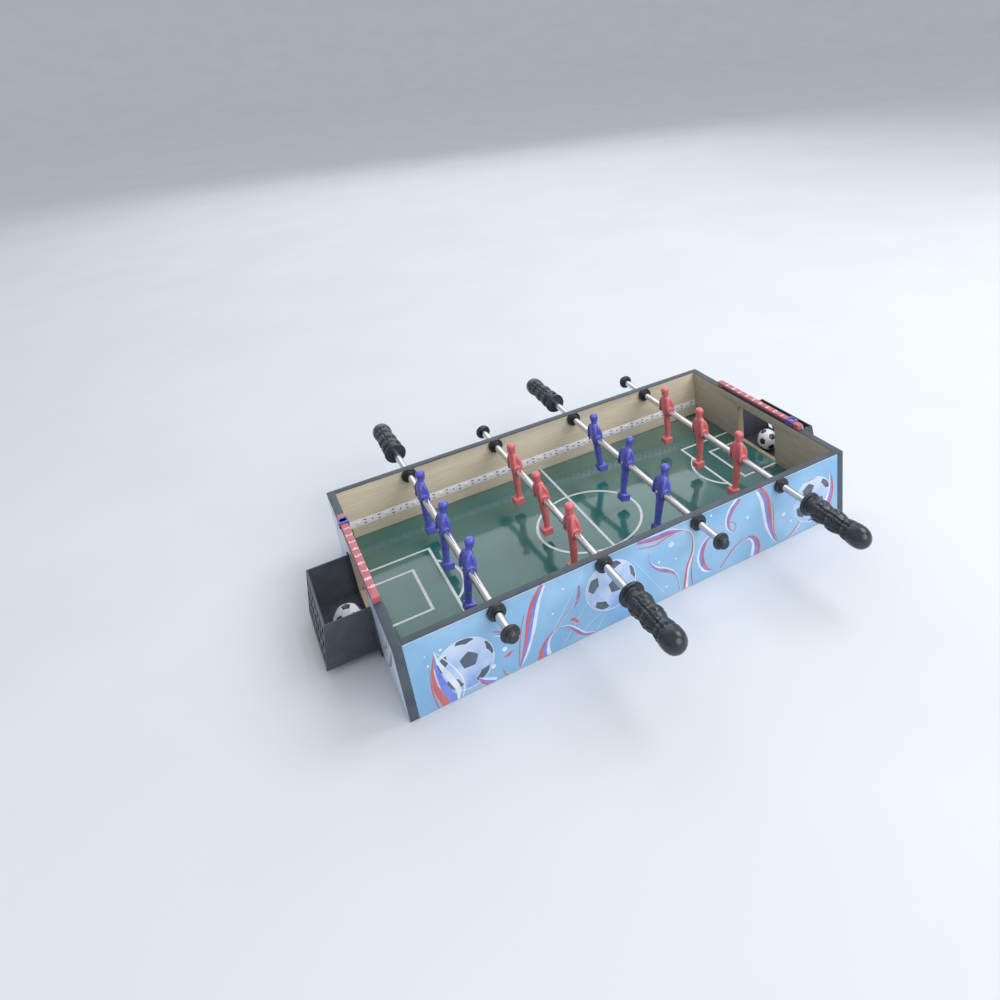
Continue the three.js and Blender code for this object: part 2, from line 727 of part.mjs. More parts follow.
// Straight runs with a small round bend at every inner corner.
function bentPath(corners, bend) {
  const path = new THREE.CurvePath();
  const at = corners.map((corner) => new THREE.Vector3(...corner));
  let from = at[0];
  for (let i = 1; i + 1 < at.length; i += 1) {
    const before = at[i].clone().sub(at[i - 1]).normalize();
    const after = at[i + 1].clone().sub(at[i]).normalize();
    const enter = at[i].clone().addScaledVector(before, -bend);
    const leave = at[i].clone().addScaledVector(after, bend);
    path.add(new THREE.LineCurve3(from, enter));
    path.add(new THREE.QuadraticBezierCurve3(enter, at[i], leave));
    from = leave;
  }
  path.add(new THREE.LineCurve3(from, at[at.length - 1]));
  return path;
}

function wireSection() {
  const shape = new THREE.Shape();
  for (let i = 0; i < WIRE_SIDES; i += 1) {
    const angle = (2 * Math.PI * i) / WIRE_SIDES;
    const corner = [WIRE_RADIUS * Math.cos(angle), WIRE_RADIUS * Math.sin(angle)];
    if (i === 0) shape.moveTo(...corner);
    else shape.lineTo(...corner);
  }
  shape.closePath();
  return shape;
}

const lead = new THREE.ExtrudeGeometry(wireSection(), {
  steps: WIRE_STEPS,
  bevelEnabled: false,
  extrudePath: bentPath(leadCorners, WIRE_BEND),
});
add("led_lead", geometryOf(solid(lead)), COLORS.white, 0.5);

export default table;
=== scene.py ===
import json
import math

import bmesh
import bpy
from mathutils import Matrix, Vector

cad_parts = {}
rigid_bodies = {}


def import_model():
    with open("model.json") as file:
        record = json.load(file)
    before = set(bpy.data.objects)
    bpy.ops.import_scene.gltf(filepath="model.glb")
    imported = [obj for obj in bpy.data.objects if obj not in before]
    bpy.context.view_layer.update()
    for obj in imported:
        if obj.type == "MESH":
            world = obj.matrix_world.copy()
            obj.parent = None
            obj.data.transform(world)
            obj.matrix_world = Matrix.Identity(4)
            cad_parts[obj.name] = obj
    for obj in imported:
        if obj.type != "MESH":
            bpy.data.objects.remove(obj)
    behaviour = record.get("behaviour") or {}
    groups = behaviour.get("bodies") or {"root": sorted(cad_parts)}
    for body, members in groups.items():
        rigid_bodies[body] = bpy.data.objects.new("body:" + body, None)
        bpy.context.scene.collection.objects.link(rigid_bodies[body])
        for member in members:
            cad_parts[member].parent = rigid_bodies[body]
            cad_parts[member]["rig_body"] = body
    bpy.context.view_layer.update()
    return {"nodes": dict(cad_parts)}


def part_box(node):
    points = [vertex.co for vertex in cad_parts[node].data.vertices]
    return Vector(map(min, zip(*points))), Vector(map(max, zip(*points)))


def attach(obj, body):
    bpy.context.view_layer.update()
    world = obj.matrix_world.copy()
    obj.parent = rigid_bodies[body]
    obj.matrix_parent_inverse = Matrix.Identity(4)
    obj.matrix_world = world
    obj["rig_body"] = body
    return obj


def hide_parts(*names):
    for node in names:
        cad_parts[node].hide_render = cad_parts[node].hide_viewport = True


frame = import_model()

MM = 0.001
TAU = 2 * math.pi

# ---------------- sizes, in millimetres
HALF_LENGTH = 255.0
HALF_WIDTH = 150.0
HEIGHT = 82.0
BOARD = 8.5
BAND = 0.8
INNER_X = HALF_LENGTH - BOARD
INNER_Y = HALF_WIDTH - BOARD
PANEL_TOP = HEIGHT - BAND
FIELD_TOP = 17.0
ROD_X = (-163.5, -54.5, 54.5, 163.5)
ROD_HEIGHT = 74.5
ROD_RADIUS = 4.0
ROD_BORE = 3.2
HANDLE_SIDE = (1, -1, 1, -1)
ROD_SHIFT = (4.5, -4.5, -1.5, 3.5)
ROD_LEAN = (10.0, -2.4, 12.0, 2.0)
MAN_LEANS = ((11.2, 7.8, 2.5), (0.1, -3.7, 2.4), (14.4, 14.1, -0.7), (1.1, 3.8, 7.7))
ROD_ENDS = (-189.0, 262.0)
MAN_SPACING = 78.0
HANDLE_START = 199.0
CAP_INNER = -187.0
SCORE_X = 251.1
SCORE_TOP = 88.5
STRIP_HALF = 246.0
STRIP_FRONT = INNER_Y - 0.6
STRIP_BOTTOM = 30.5
STRIP_TOP = 39.5
LED_COUNT = 15
LED_PITCH = 33.0
BALL_RADIUS = 14.0


# ---------------- colours and node looks
def linear(colour):
    """The linear colour for a screen colour of three values, 0 to 255, or for a grey given as one number."""
    if isinstance(colour, float):
        return (colour, colour, colour, 1.0)
    parts = [c / 255 for c in colour]
    return (*(c / 12.92 if c <= 0.04045 else ((c + 0.055) / 1.055) ** 2.4 for c in parts), 1.0)


class Look:
    """A material being built: one Principled shader and the nodes that feed it."""

    def __init__(self, name, **values):
        self.material = bpy.data.materials.new(name)
        self.material.use_nodes = True
        self.nodes = self.material.node_tree.nodes
        self.links = self.material.node_tree.links
        self.shader = self.nodes["Principled BSDF"]
        for socket, value in values.items():
            self.shader.inputs[socket.replace("_", " ")].default_value = value
        self.coordinates = self.nodes.new("ShaderNodeTexCoord").outputs["Object"]

    def node(self, kind, **inputs):
        """A new node, with a value or another node's output for each input."""
        node = self.nodes.new(f"ShaderNode{kind}")
        for name, value in inputs.items():
            socket = node.inputs[name.replace("_", " ")]
            if isinstance(value, bpy.types.NodeSocket):
                self.links.new(value, socket)
            else:
                socket.default_value = value
        return node

    def place(self, scale=(1, 1, 1)):
        """Object coordinates, stretched by scale."""
        return self.node("Mapping", Vector=self.coordinates, Scale=scale).outputs["Vector"]

    def noise(self, size_mm, detail=4.0, roughness=0.55, stretch=(1, 1, 1), distortion=0.0):
        """Noise whose features are about size_mm across."""
        node = self.node("TexNoise", Vector=self.place(stretch), Scale=1000.0 / size_mm, Detail=detail,
                         Roughness=roughness, Distortion=distortion)
        return node.outputs["Fac"]

    def cells(self, size_mm):
        """Distance to the nearest of scattered points about size_mm apart."""
        return self.node("TexVoronoi", Vector=self.place(), Scale=1000.0 / size_mm).outputs["Distance"]

    def ramp(self, value, stops, smooth=False):
        """Screen colours, or greys given as plain numbers, by value."""
        node = self.node("ValToRGB", Fac=value)
        if smooth:
            node.color_ramp.interpolation = "EASE"
        marks = node.color_ramp.elements
        while len(marks) < len(stops):
            marks.new(0.5)
        for mark, (position, colour) in zip(marks, stops):
            mark.position = position
            mark.color = linear(colour)
        return node.outputs["Color"]

    def mix(self, factor, first, second, blend="MIX"):
        """Two colours mixed by a factor; each may be a value or a socket."""
        node = self.node("Mix")
        node.data_type = "RGBA"
        node.blend_type = blend
        for socket, value in ((node.inputs[0], factor), (node.inputs[6], first), (node.inputs[7], second)):
            if isinstance(value, tuple):
                socket.default_value = linear(value)
            elif isinstance(value, float):
                socket.default_value = value
            else:
                self.links.new(value, socket)
        return node.outputs[2]

    def colour(self, value):
        self.links.new(value, self.shader.inputs["Base Color"])

    def roughness(self, value):
        self.links.new(value, self.shader.inputs["Roughness"])

    def gloss(self, size_mm, low, high):
        """Roughness that wanders between low and high."""
        self.roughness(self.ramp(self.noise(size_mm), [(0.3, low), (0.7, high)]))

    def bump(self, height, depth_mm, strength=1.0):
        """Adds relief on top of any that is there already."""
        node = self.node("Bump", Strength=strength, Distance=depth_mm * MM, Height=height)
        into = self.shader.inputs["Normal"]
        if into.is_linked:
            self.links.new(into.links[0].from_socket, node.inputs["Normal"])
        self.links.new(node.outputs["Normal"], into)


def moulded(name, colour, shade, roughness, grain_mm, depth_mm, coat=0.0):
    """Moulded plastic: faint flow shading, uneven gloss and a fine moulded surface."""
    look = Look(name, Coat_Weight=coat, Coat_Roughness=0.08)
    flow = look.noise(9.0, detail=3.0)
    look.colour(look.ramp(flow, [(0.3, shade), (0.62, colour)]))
    look.gloss(3.0, roughness - 0.05, roughness + 0.07)
    look.bump(look.noise(grain_mm, detail=2.0), depth_mm)
    return look.material


def maple(name, along, light, mid, dark):
    """Printed maple grain running along X or Y."""
    def drawn_out(share):
        return (share, 1, 1) if along == "x" else (1, share, 1)

    long_way = drawn_out(0.045)
    look = Look(name, Coat_Weight=0.15, Coat_Roughness=0.3)
    streaks = look.noise(2.1, detail=6.0, roughness=0.6, stretch=long_way, distortion=0.35)
    broad = look.noise(26.0, detail=2.0, stretch=long_way)
    fine = look.noise(0.55, detail=2.0, stretch=drawn_out(0.03))
    base = look.ramp(streaks, [(0.3, dark), (0.48, mid), (0.7, light)])
    base = look.mix(look.ramp(broad, [(0.35, 0.0), (0.7, 0.5)]), base, light)
    pores = look.ramp(fine, [(0.28, 1.0), (0.4, 0.0)])
    look.colour(look.mix(pores, base, dark))
    look.roughness(look.ramp(streaks, [(0.3, 0.5), (0.7, 0.38)]))
    look.bump(fine, 0.03, 0.5)
    return look.material


def glossy_film(name):
    """The start of every printed look: the film's gloss."""
    look = Look(name, Coat_Weight=0.35, Coat_Roughness=0.12)
    look.gloss(5.0, 0.34, 0.44)
    return look


def printed(name, colour, shade):
    """Ink on the glossy film: soft tone changes and the film's slight waviness."""
    look = glossy_film(name)
    look.colour(look.ramp(look.noise(14.0, detail=2.0), [(0.34, shade), (0.66, colour)]))
    look.bump(look.noise(6.0, detail=2.0), 0.02, 0.4)
    return look.material


def film(name, sky, pale, deep):
    """Sky-blue printed film with soft clouds and tiny bubbles of light."""
    look = glossy_film(name)
    clouds = look.noise(70.0, detail=3.0, roughness=0.5)
    base = look.ramp(clouds, [(0.3, deep), (0.5, sky), (0.72, pale)])
    bubbles = look.ramp(look.cells(13.0), [(0.03, 1.0), (0.085, 0.0)])
    some = look.ramp(look.noise(30.0, detail=1.0), [(0.52, 0.0), (0.6, 0.5)])
    dots = look.mix(1.0, bubbles, some, "MULTIPLY")
    look.colour(look.mix(dots, base, (225, 238, 248)))
    look.bump(look.noise(6.0, detail=2.0), 0.02, 0.4)
    return look.material


def pressed_board(name, light, dark):
    """Fibreboard as cut: short fibres and tiny pits."""
    look = Look(name)
    fibre = look.noise(0.9, detail=6.0, roughness=0.7, stretch=(1, 1, 2.2))
    look.colour(look.ramp(fibre, [(0.3, dark), (0.65, light)]))
    look.roughness(look.ramp(fibre, [(0.2, 0.9), (0.8, 0.72)]))
    look.bump(fibre, 0.12)
    return look.material


def pitch_laminate():
    """Dark green laminate under a clear coat, with soft patches and rare pale specks."""
    look = Look("pitch_laminate", Coat_Weight=1.0, Coat_Roughness=0.06, Coat_IOR=1.45)
    patches = look.noise(60.0, detail=3.0)
    base = look.ramp(patches, [(0.3, (36, 95, 91)), (0.7, (44, 104, 99))])
    specks = look.ramp(look.cells(7.0), [(0.018, 1.0), (0.03, 0.0)])
    rare = look.ramp(look.noise(18.0, detail=1.0), [(0.6, 0.0), (0.68, 0.35)])
    look.colour(look.mix(look.mix(1.0, specks, rare, "MULTIPLY"), base, (190, 214, 200)))
    look.gloss(12.0, 0.12, 0.2)
    look.bump(look.noise(22.0, detail=2.0), 0.02, 0.5)
    return look.material


def edge_banding():
    """Dark slate edge tape with a fine paler fleck."""
    look = Look("edge_banding")
    grain = look.noise(0.7, detail=4.0, roughness=0.7)
    tone = look.noise(24.0, detail=2.0)
    base = look.ramp(tone, [(0.3, (60, 71, 81)), (0.7, (74, 87, 98))])
    flecks = look.ramp(grain, [(0.6, 0.0), (0.8, 0.55)])
    look.colour(look.mix(flecks, base, (112, 120, 128)))
    look.roughness(look.ramp(grain, [(0.3, 0.42), (0.7, 0.58)]))
    look.bump(grain, 0.05, 0.7)
    return look.material


def plated_steel(name, colour, dull, along_y=True):
    """Bright plated steel with dull stains, drawn along Y or even."""
    look = Look(name, Metallic=1.0)
    stretch = (1, 0.02, 1) if along_y else (1, 1, 1)
    drawn = look.noise(0.35, detail=3.0, stretch=stretch)
    stains = look.noise(16.0, detail=3.0)
    look.colour(look.ramp(stains, [(0.3, dull), (0.6, colour)]))
    look.roughness(look.ramp(drawn, [(0.3, 0.16), (0.7, 0.27)]))
    look.bump(drawn, 0.006, 0.6)
    return look.material


def grip_rubber():
    """Glossy black rubber, stippled and a little worn."""
    look = Look("grip_rubber")
    stipple = look.noise(0.5, detail=3.0, roughness=0.6)
    wear = look.noise(8.0, detail=4.0)
    base = look.ramp(wear, [(0.3, (36, 41, 48)), (0.72, (50, 57, 66))])
    look.colour(look.mix(look.ramp(stipple, [(0.62, 0.0), (0.8, 0.4)]), base, (66, 74, 82)))
    look.roughness(look.ramp(wear, [(0.3, 0.18), (0.7, 0.3)]))
    look.bump(stipple, 0.05, 0.6)
    return look.material


def goal_plastic():
    """Dark grey plastic with a sparkling grain."""
    look = Look("goal_plastic")
    spark = look.cells(0.6)
    tone = look.noise(12.0, detail=3.0)
    base = look.ramp(tone, [(0.3, (60, 63, 73)), (0.7, (73, 77, 88))])
    look.colour(look.mix(look.ramp(spark, [(0.08, 0.45), (0.2, 0.0)]), base, (104, 110, 118)))
    look.gloss(1.2, 0.34, 0.5)
    look.bump(spark, 0.04, 0.8)
    return look.material


PRINT_BALL_REACH = 30.0


def glass_print():
    """The printed ball's body: pale at the top and blue lower down, with soft cloudy light."""
    look = glossy_film("print_ball")
    up = look.node("SeparateXYZ", Vector=look.coordinates).outputs["Z"]
    reach = PRINT_BALL_REACH * MM
    height = look.node("MapRange", Value=up, From_Min=-reach, From_Max=reach)
    stops = [(0.05, (122, 156, 216)), (0.5, (160, 188, 230)), (0.95, (200, 214, 236))]
    base = look.ramp(height.outputs["Result"], stops, smooth=True)
    clouds = look.ramp(look.noise(20.0, detail=3.0), [(0.42, 0.0), (0.75, 0.65)])
    look.colour(look.mix(clouds, base, (222, 233, 247)))
    return look.material


BAND_LOOK = edge_banding()
FILM = film("print_sky", (138, 184, 220), (168, 201, 229), (122, 172, 216))
# The end boards' film is the same sky print made paler: a painted sheen for the glare those faces catch at a
# grazing angle.
FILM_END_PAINTED_SHEEN = film("print_sky_end_painted_sheen", (198, 216, 234), (222, 230, 240), (164, 194, 226))
MAPLE_X = maple("maple_x", "x", (222, 210, 188), (214, 201, 178), (202, 187, 162))
# The end boards' maple is the same print as the long boards' but darker: painted shade for the dimmer light
# on their inner faces.
MAPLE_Y_PAINTED_SHADE = maple("maple_y_painted_shade", "y", (190, 182, 163), (180, 171, 151), (165, 155, 135))
CORE = pressed_board("fibreboard", (182, 163, 132), (140, 120, 92))
UNDERSIDE = pressed_board("hardboard", (132, 98, 66), (94, 66, 42))
PITCH = pitch_laminate()
LINE_PAINT = moulded("line_paint", (212, 215, 220), (196, 200, 206), 0.4, 1.4, 0.02)
STEEL = plated_steel("plated_steel", (220, 219, 219), (205.75, 204.81, 204.81))
SCREW_STEEL = plated_steel("screw_steel", (216, 216, 214), (201.99, 201.99, 200.11), along_y=False)
BUSHING = moulded("bushing_nylon", (46, 50, 57), (34, 37, 43), 0.28, 0.6, 0.02)
GRIP = grip_rubber()
BLUE = moulded("blue_plastic", (91, 96, 198), (77, 82, 178), 0.26, 0.8, 0.012, 0.25)
RED = moulded("red_plastic", (222, 116, 120), (206, 102, 108), 0.32, 0.8, 0.012, 0.2)
BAR_RED = moulded("bar_red", (192, 110, 118), (178, 98, 106), 0.46, 1.0, 0.02)
GOAL = goal_plastic()
BALL_WHITE = moulded("ball_white", (232, 233, 240), (214, 216, 226), 0.3, 1.2, 0.03, 0.3)
BALL_BLACK = moulded("ball_black", (34, 35, 40), (22, 23, 26), 0.3, 1.2, 0.03, 0.3)
STRIP = moulded("strip_white", (240, 240, 248), (226, 226, 236), 0.5, 1.0, 0.02)
PHOSPHOR = moulded("phosphor", (250, 226, 110), (238, 204, 84), 0.35, 0.4, 0.02, 0.3)
COPPER = moulded("copper_pad", (158, 104, 84), (120, 72, 60), 0.4, 0.6, 0.02)
CHIP_BLACK = moulded("chip_black", (52, 46, 48), (34, 30, 32), 0.45, 0.6, 0.02)
INK_RED = printed("ink_red", (208, 106, 106), (190, 92, 94))
INK_BLUE = printed("ink_blue", (122, 144, 226), (100, 120, 210))
INK_WHITE = printed("ink_white", (232, 236, 244), (206, 214, 228))
INK_DARK = printed("ink_dark", (92, 108, 124), (66, 78, 92))
INK_SEAM = printed("ink_seam", (222, 230, 243), (200, 212, 234))
PRINT_BALL = glass_print()
DIGIT_INK = moulded("digit_ink", (238, 222, 230), (224, 206, 216), 0.45, 1.0, 0.02)
BOX_PLASTIC = moulded("box_plastic", (44, 45, 49), (34, 35, 38), 0.5, 0.6, 0.04)
SWITCH_PLASTIC = moulded("switch_plastic", (224, 224, 220), (206, 206, 202), 0.4, 0.6, 0.03)
CELL_WRAP = moulded("cell_wrap", (70, 120, 90), (52, 98, 72), 0.35, 0.8, 0.02, 0.3)
LEAD_SLEEVE = moulded("lead_sleeve", (206, 206, 204), (186, 186, 184), 0.45, 0.7, 0.02)


# ---------------- mesh helpers
def put(name, data):
    """A new object in the scene."""
    piece = bpy.data.objects.new(name, data)
    bpy.context.scene.collection.objects.link(piece)
    return piece


def frozen(piece):
    """The mesh that an object comes to once its modifiers have run. The object goes."""
    bpy.context.view_layer.update()
    mesh = bpy.data.meshes.new_from_object(piece.evaluated_get(bpy.context.evaluated_depsgraph_get()))
    bpy.data.objects.remove(piece)
    return mesh


def finished(name, mesh, finishes, body, stands_for=(), place=None, crease=34.0):
    """A smooth-shaded piece that rides on a body, from a mesh in metres."""
    if not mesh.materials:
        for material in finishes:
            mesh.materials.append(material)
    mesh.polygons.foreach_set("use_smooth", [True] * len(mesh.polygons))
    mesh.set_sharp_from_angle(angle=math.radians(crease))
    piece = put(name, mesh)
    if place is not None:
        piece.matrix_world = place
    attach(piece, body)
    if stands_for:
        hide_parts(*stands_for)
    return piece


def mesh_of(name, bm):
    """A bmesh drawn in millimetres as a mesh in metres."""
    bmesh.ops.recalc_face_normals(bm, faces=bm.faces)
    bm.transform(Matrix.Scale(MM, 4))
    mesh = bpy.data.meshes.new(name)
    bm.to_mesh(mesh)
    bm.free()
    return mesh


# A rounded corner takes up at most this share of each side beside it.
CORNER_SHARE = 0.45


def eased(corners, radius, steps=3):
    """An outline with its corners rounded, all but its two ends."""
    line = [Vector(corner) for corner in corners]
    out = [line[0]]
    for before, at, after in zip(line, line[1:], line[2:]):
        back, on = before - at, after - at
        reach = min(radius, back.length * CORNER_SHARE, on.length * CORNER_SHARE)
        start = at + back.normalized() * reach
        end = at + on.normalized() * reach
        for k in range(steps + 1):
            t = k / steps
            out.append(start * (1 - t) ** 2 + at * (2 * t * (1 - t)) + end * t**2)
    return [tuple(point) for point in (*out, line[-1])]


def smooth_line(points, steps=8):
    """A smooth line through points of any number of values."""
    first = tuple(2 * a - b for a, b in zip(points[0], points[1]))
    last = tuple(2 * a - b for a, b in zip(points[-1], points[-2]))
    line = [first, *points, last]
    out = []
    for p0, p1, p2, p3 in zip(line, line[1:], line[2:], line[3:]):
        for k in range(steps):
            t = k / steps
            out.append(tuple(
                0.5 * (2 * b + (c - a) * t + (2 * a - 5 * b + 4 * c - d) * t**2
                       + (3 * b - a - 3 * c + d) * t**3)
                for a, b, c, d in zip(p0, p1, p2, p3)
            ))
    return [*out, tuple(points[-1])]


def surface_of_turn(rings):
    """A bmesh from rings of points, where a ring of one point closes an end."""
    bm = bmesh.new()
    made = [[bm.verts.new(point) for point in ring] for ring in rings]
    for first, second in zip(made, made[1:]):
        sides = max(len(first), len(second))
        for i in range(sides):
            j = (i + 1) % sides
            if len(first) == 1:
                bm.faces.new((first[0], second[i], second[j]))
            elif len(second) == 1:
                bm.faces.new((first[i], second[0], first[j]))
            else:
                bm.faces.new((first[i], second[i], second[j], first[j]))
    bmesh.ops.remove_doubles(bm, verts=bm.verts, dist=1e-5)
    return bm


def turned(profile, sides=56):
    """(radius, y) corners turned about Y. A radius of zero closes on the axis."""
    rings = []
    for radius, y in profile:
        ring = [(x, y, z) for x, z in circle(0, 0, radius, sides)]
        rings.append(ring if radius > 1e-6 else [(0, y, 0)])
    return surface_of_turn(rings)


def add_box(bm, low, high, bevel):
    """Adds a block with rounded edges."""
    size = [b - a for a, b in zip(low, high)]
    middle = [(a + b) / 2 for a, b in zip(low, high)]
    place = Matrix.Translation(middle) @ Matrix.Diagonal((*size, 1))
    made = bmesh.ops.create_cube(bm, size=1.0, matrix=place)
    edges = list({edge for vert in made["verts"] for edge in vert.link_edges})
    bmesh.ops.bevel(bm, geom=edges, offset=bevel, segments=2, profile=0.5, affect="EDGES", material=-1)


SHARP_EDGE = math.radians(30)


def softened(name, node, body, finishes, bevel, pick=None, segments=2):
    """A piece made from a CAD node's shape with softened edges, and finishes picked face by face."""
    bm = bmesh.new()
    bm.from_mesh(frame["nodes"][node].data)
    bm.transform(Matrix.Scale(1 / MM, 4))
    bmesh.ops.remove_doubles(bm, verts=bm.verts, dist=1e-3)
    bmesh.ops.dissolve_limit(bm, angle_limit=math.radians(1), verts=bm.verts, edges=bm.edges)
    if pick:
        for face in bm.faces:
            face.material_index = pick(face.calc_center_median(), face.normal)
    edges = [e for e in bm.edges if len(e.link_faces) == 2 and e.calc_face_angle() > SHARP_EDGE]
    bmesh.ops.bevel(bm, geom=edges, offset=bevel, segments=segments, profile=0.5, affect="EDGES",
                    clamp_overlap=True, material=-1)
    bmesh.ops.triangulate(bm, faces=[face for face in bm.faces if len(face.verts) > 4])
    return finished(name, mesh_of(name, bm), finishes, body, (node,))


def rod_place(index, lean):
    """Where a rod's own frame sits at a lean in degrees, with its handle towards the frame's +Y."""
    place = Matrix.Translation(Vector((ROD_X[index], ROD_SHIFT[index], ROD_HEIGHT)) * MM)
    place = place @ Matrix.Rotation(math.radians(lean), 4, "Y")
    if HANDLE_SIDE[index] < 0:
        place = place @ Matrix.Rotation(math.pi, 4, "Z")
    return place


def circle(u, v, radius, sides):
    """Corners round a circle."""
    return [(u + radius * math.cos(TAU * i / sides), v + radius * math.sin(TAU * i / sides))
            for i in range(sides)]


def baked_down(name, bm, modifiers):
    """The mesh of a bmesh in millimetres after modifiers, each given as (type, settings)."""
    piece = put(name, mesh_of(name, bm))
    for kind, settings in modifiers:
        modifier = piece.modifiers.new(kind.lower(), kind)
        for key, value in settings.items():
            setattr(modifier, key, value)
    mesh = frozen(piece)
    mesh.name = name
    return mesh


def absorb(bm, other):
    """Adds one bmesh's faces to another."""
    scratch = bpy.data.meshes.new("scratch")
    bmesh.ops.recalc_face_normals(other, faces=other.faces)
    other.to_mesh(scratch)
    other.free()
    bm.from_mesh(scratch)
    bpy.data.meshes.remove(scratch)


# ---------------- cabinet
FILM_INDEX, INNER_INDEX, BAND_INDEX, CORE_INDEX = range(4)


# How squarely a face has to look a way, and how near it has to be to a plane, to count as being there.
SQUARE_ON = 0.9
NEAR = 0.1


def board_finish(axis, outward, half, inner):
    """Picks the film outside, the maple inside, the band on top and the bare core elsewhere.

    An end board, across axis 0, carries the band on its two upright edges too.
    """
    def pick(centre, normal):
        if normal[axis] * outward > SQUARE_ON and abs(centre[axis]) > half - NEAR:
            return FILM_INDEX
        if normal[axis] * outward < -SQUARE_ON and abs(abs(centre[axis]) - inner) < NEAR:
            return INNER_INDEX
        on_top = normal.z > SQUARE_ON and centre.z > PANEL_TOP - NEAR
        on_edge = axis == 0 and abs(normal.y) > SQUARE_ON and abs(centre.y) > HALF_WIDTH - NEAR
        return BAND_INDEX if on_top or on_edge else CORE_INDEX
    return pick


for side, word in ((-1, "front"), (1, "rear")):
    softened(f"{word}_board", f"{word}_panel", "cabinet", [FILM, MAPLE_X, BAND_LOOK, CORE],
             0.2, board_finish(1, side, HALF_WIDTH, INNER_Y))
for side, word in ((-1, "left"), (1, "right")):
    softened(f"{word}_end_board", f"{word}_end_panel", "cabinet",
             [FILM_END_PAINTED_SHEEN, MAPLE_Y_PAINTED_SHADE, BAND_LOOK, CORE], 0.25, board_finish(0, side, HALF_LENGTH, INNER_X))
for word in ("front", "rear", "left", "right"):
    softened(f"{word}_banding", f"{word}_edge_band", "cabinet", [BAND_LOOK], 0.25)
softened("pitch_board", "playfield", "cabinet", [PITCH, UNDERSIDE], 0.1,
         lambda centre, normal: 0 if normal.z > SQUARE_ON and centre.z > FIELD_TOP - NEAR else 1)


# ---------------- flat markings
DECAL_SUNK = -0.05
DECAL_LIFT = 0.06
DECAL_STEP = 0.015


class Decals:
    """Thin flat markings on one face of the cabinet, gathered into one piece.

    place maps (across, up, lift) to a point, and limits are the lowest and highest across and up.
    """

    def __init__(self, place, limits):
        self.place = place
        self.limits = limits
        self.bm = bmesh.new()
        self.inks = []
        self.layer = 0

    def ink(self, material):
        """The number of an ink in this piece."""
        if material not in self.inks:
            self.inks.append(material)
        return self.inks.index(material)

    def add(self, points, faces):
        """Flat faces, each (corner numbers, ink), made into one closed sheet."""
        bm = bmesh.new()
        corners = [bm.verts.new((u, v, 0)) for u, v in points]
        for numbers, material in faces:
            bm.faces.new([corners[n] for n in numbers]).material_index = self.ink(material)
        low_u, high_u, low_v, high_v = self.limits
        for spot, way in (((low_u, 0, 0), (-1, 0, 0)), ((high_u, 0, 0), (1, 0, 0)),
                          ((0, low_v, 0), (0, -1, 0)), ((0, high_v, 0), (0, 1, 0))):
            geometry = [*bm.verts, *bm.edges, *bm.faces]
            bmesh.ops.bisect_plane(bm, geom=geometry, plane_co=spot, plane_no=way, clear_outer=True)
        bmesh.ops.dissolve_degenerate(bm, dist=1e-4, edges=bm.edges)
        bmesh.ops.recalc_face_normals(bm, faces=bm.faces)
        made = bmesh.ops.extrude_face_region(bm, geom=bm.faces[:])
        lifted = {item for item in made["geom"] if isinstance(item, bmesh.types.BMVert)}
        top = DECAL_LIFT + DECAL_STEP * self.layer
        for vert in bm.verts:
            u, v, _ = vert.co
            vert.co = self.place(u, v, top if vert in lifted else DECAL_SUNK)
        absorb(self.bm, bm)

    def ribbon(self, points, inks, shares=None, closed=False, steps=8):
        """Side-by-side inks along a smooth line of (across, up, half width), left ink first."""
        line = smooth_line(points, steps) if steps else list(points)
        shares = shares or [1.0] * len(inks)
        edges = [sum(shares[:n]) / sum(shares) * -2 + 1 for n in range(len(inks) + 1)]
        flat = []
        for i, (u, v, half) in enumerate(line):
            if closed:
                before, after = line[i - 1], line[(i + 1) % len(line)]
            else:
                before, after = line[max(i - 1, 0)], line[min(i + 1, len(line) - 1)]
            du, dv = after[0] - before[0], after[1] - before[1]
            length = math.hypot(du, dv)
            flat += [(u - dv / length * half * e, v + du / length * half * e) for e in edges]
        width, rows = len(edges), len(line)
        faces = []
        for i in range(rows if closed else rows - 1):
            j = (i + 1) % rows
            for k, material in enumerate(inks):
                faces.append(((i * width + k, j * width + k, j * width + k + 1, i * width + k + 1), material))
        self.add(flat, faces)

    def disc(self, u, v, radius, material, sides=20):
        """A filled circle."""
        self.add(circle(u, v, radius, sides), [(tuple(range(sides)), material)])

    def piece(self, name, slot):
        return finished(name, mesh_of(name, self.bm), self.inks, "cabinet")


# ---------------- football pattern
def football_faces():
    """The five-sided and six-sided faces of a football, as corners on a unit sphere."""
    golden = (1 + 5**0.5) / 2
    tips = [Vector(p).normalized() for a in (-1, 1) for b in (-golden, golden)
            for p in ((0, a, b), (a, b, 0), (b, 0, a))]
    reach = min((tips[0] - tip).length for tip in tips[1:]) * 1.01
    near = [[j for j in range(12) if j != i and (tips[i] - tips[j]).length < reach] for i in range(12)]
    fives, sixes = [], []
    for i in range(12):
        side = tips[i].orthogonal().normalized()
        other = tips[i].cross(side)
        ring = sorted(near[i], key=lambda j: math.atan2(tips[j].dot(other), tips[j].dot(side)))
        fives.append([((2 * tips[i] + tips[j]) / 3).normalized() for j in ring])
        for j in near[i]:
            for k in near[i]:
                if i < j < k and k in near[j]:
                    loop = (i, j, k, i)
                    sixes.append([((near_share * tips[a] + (3 - near_share) * tips[b]) / 3).normalized()
                                  for a, b in zip(loop, loop[1:]) for near_share in (2, 1)])
    return fives, sixes


FIVES, SIXES = football_faces()


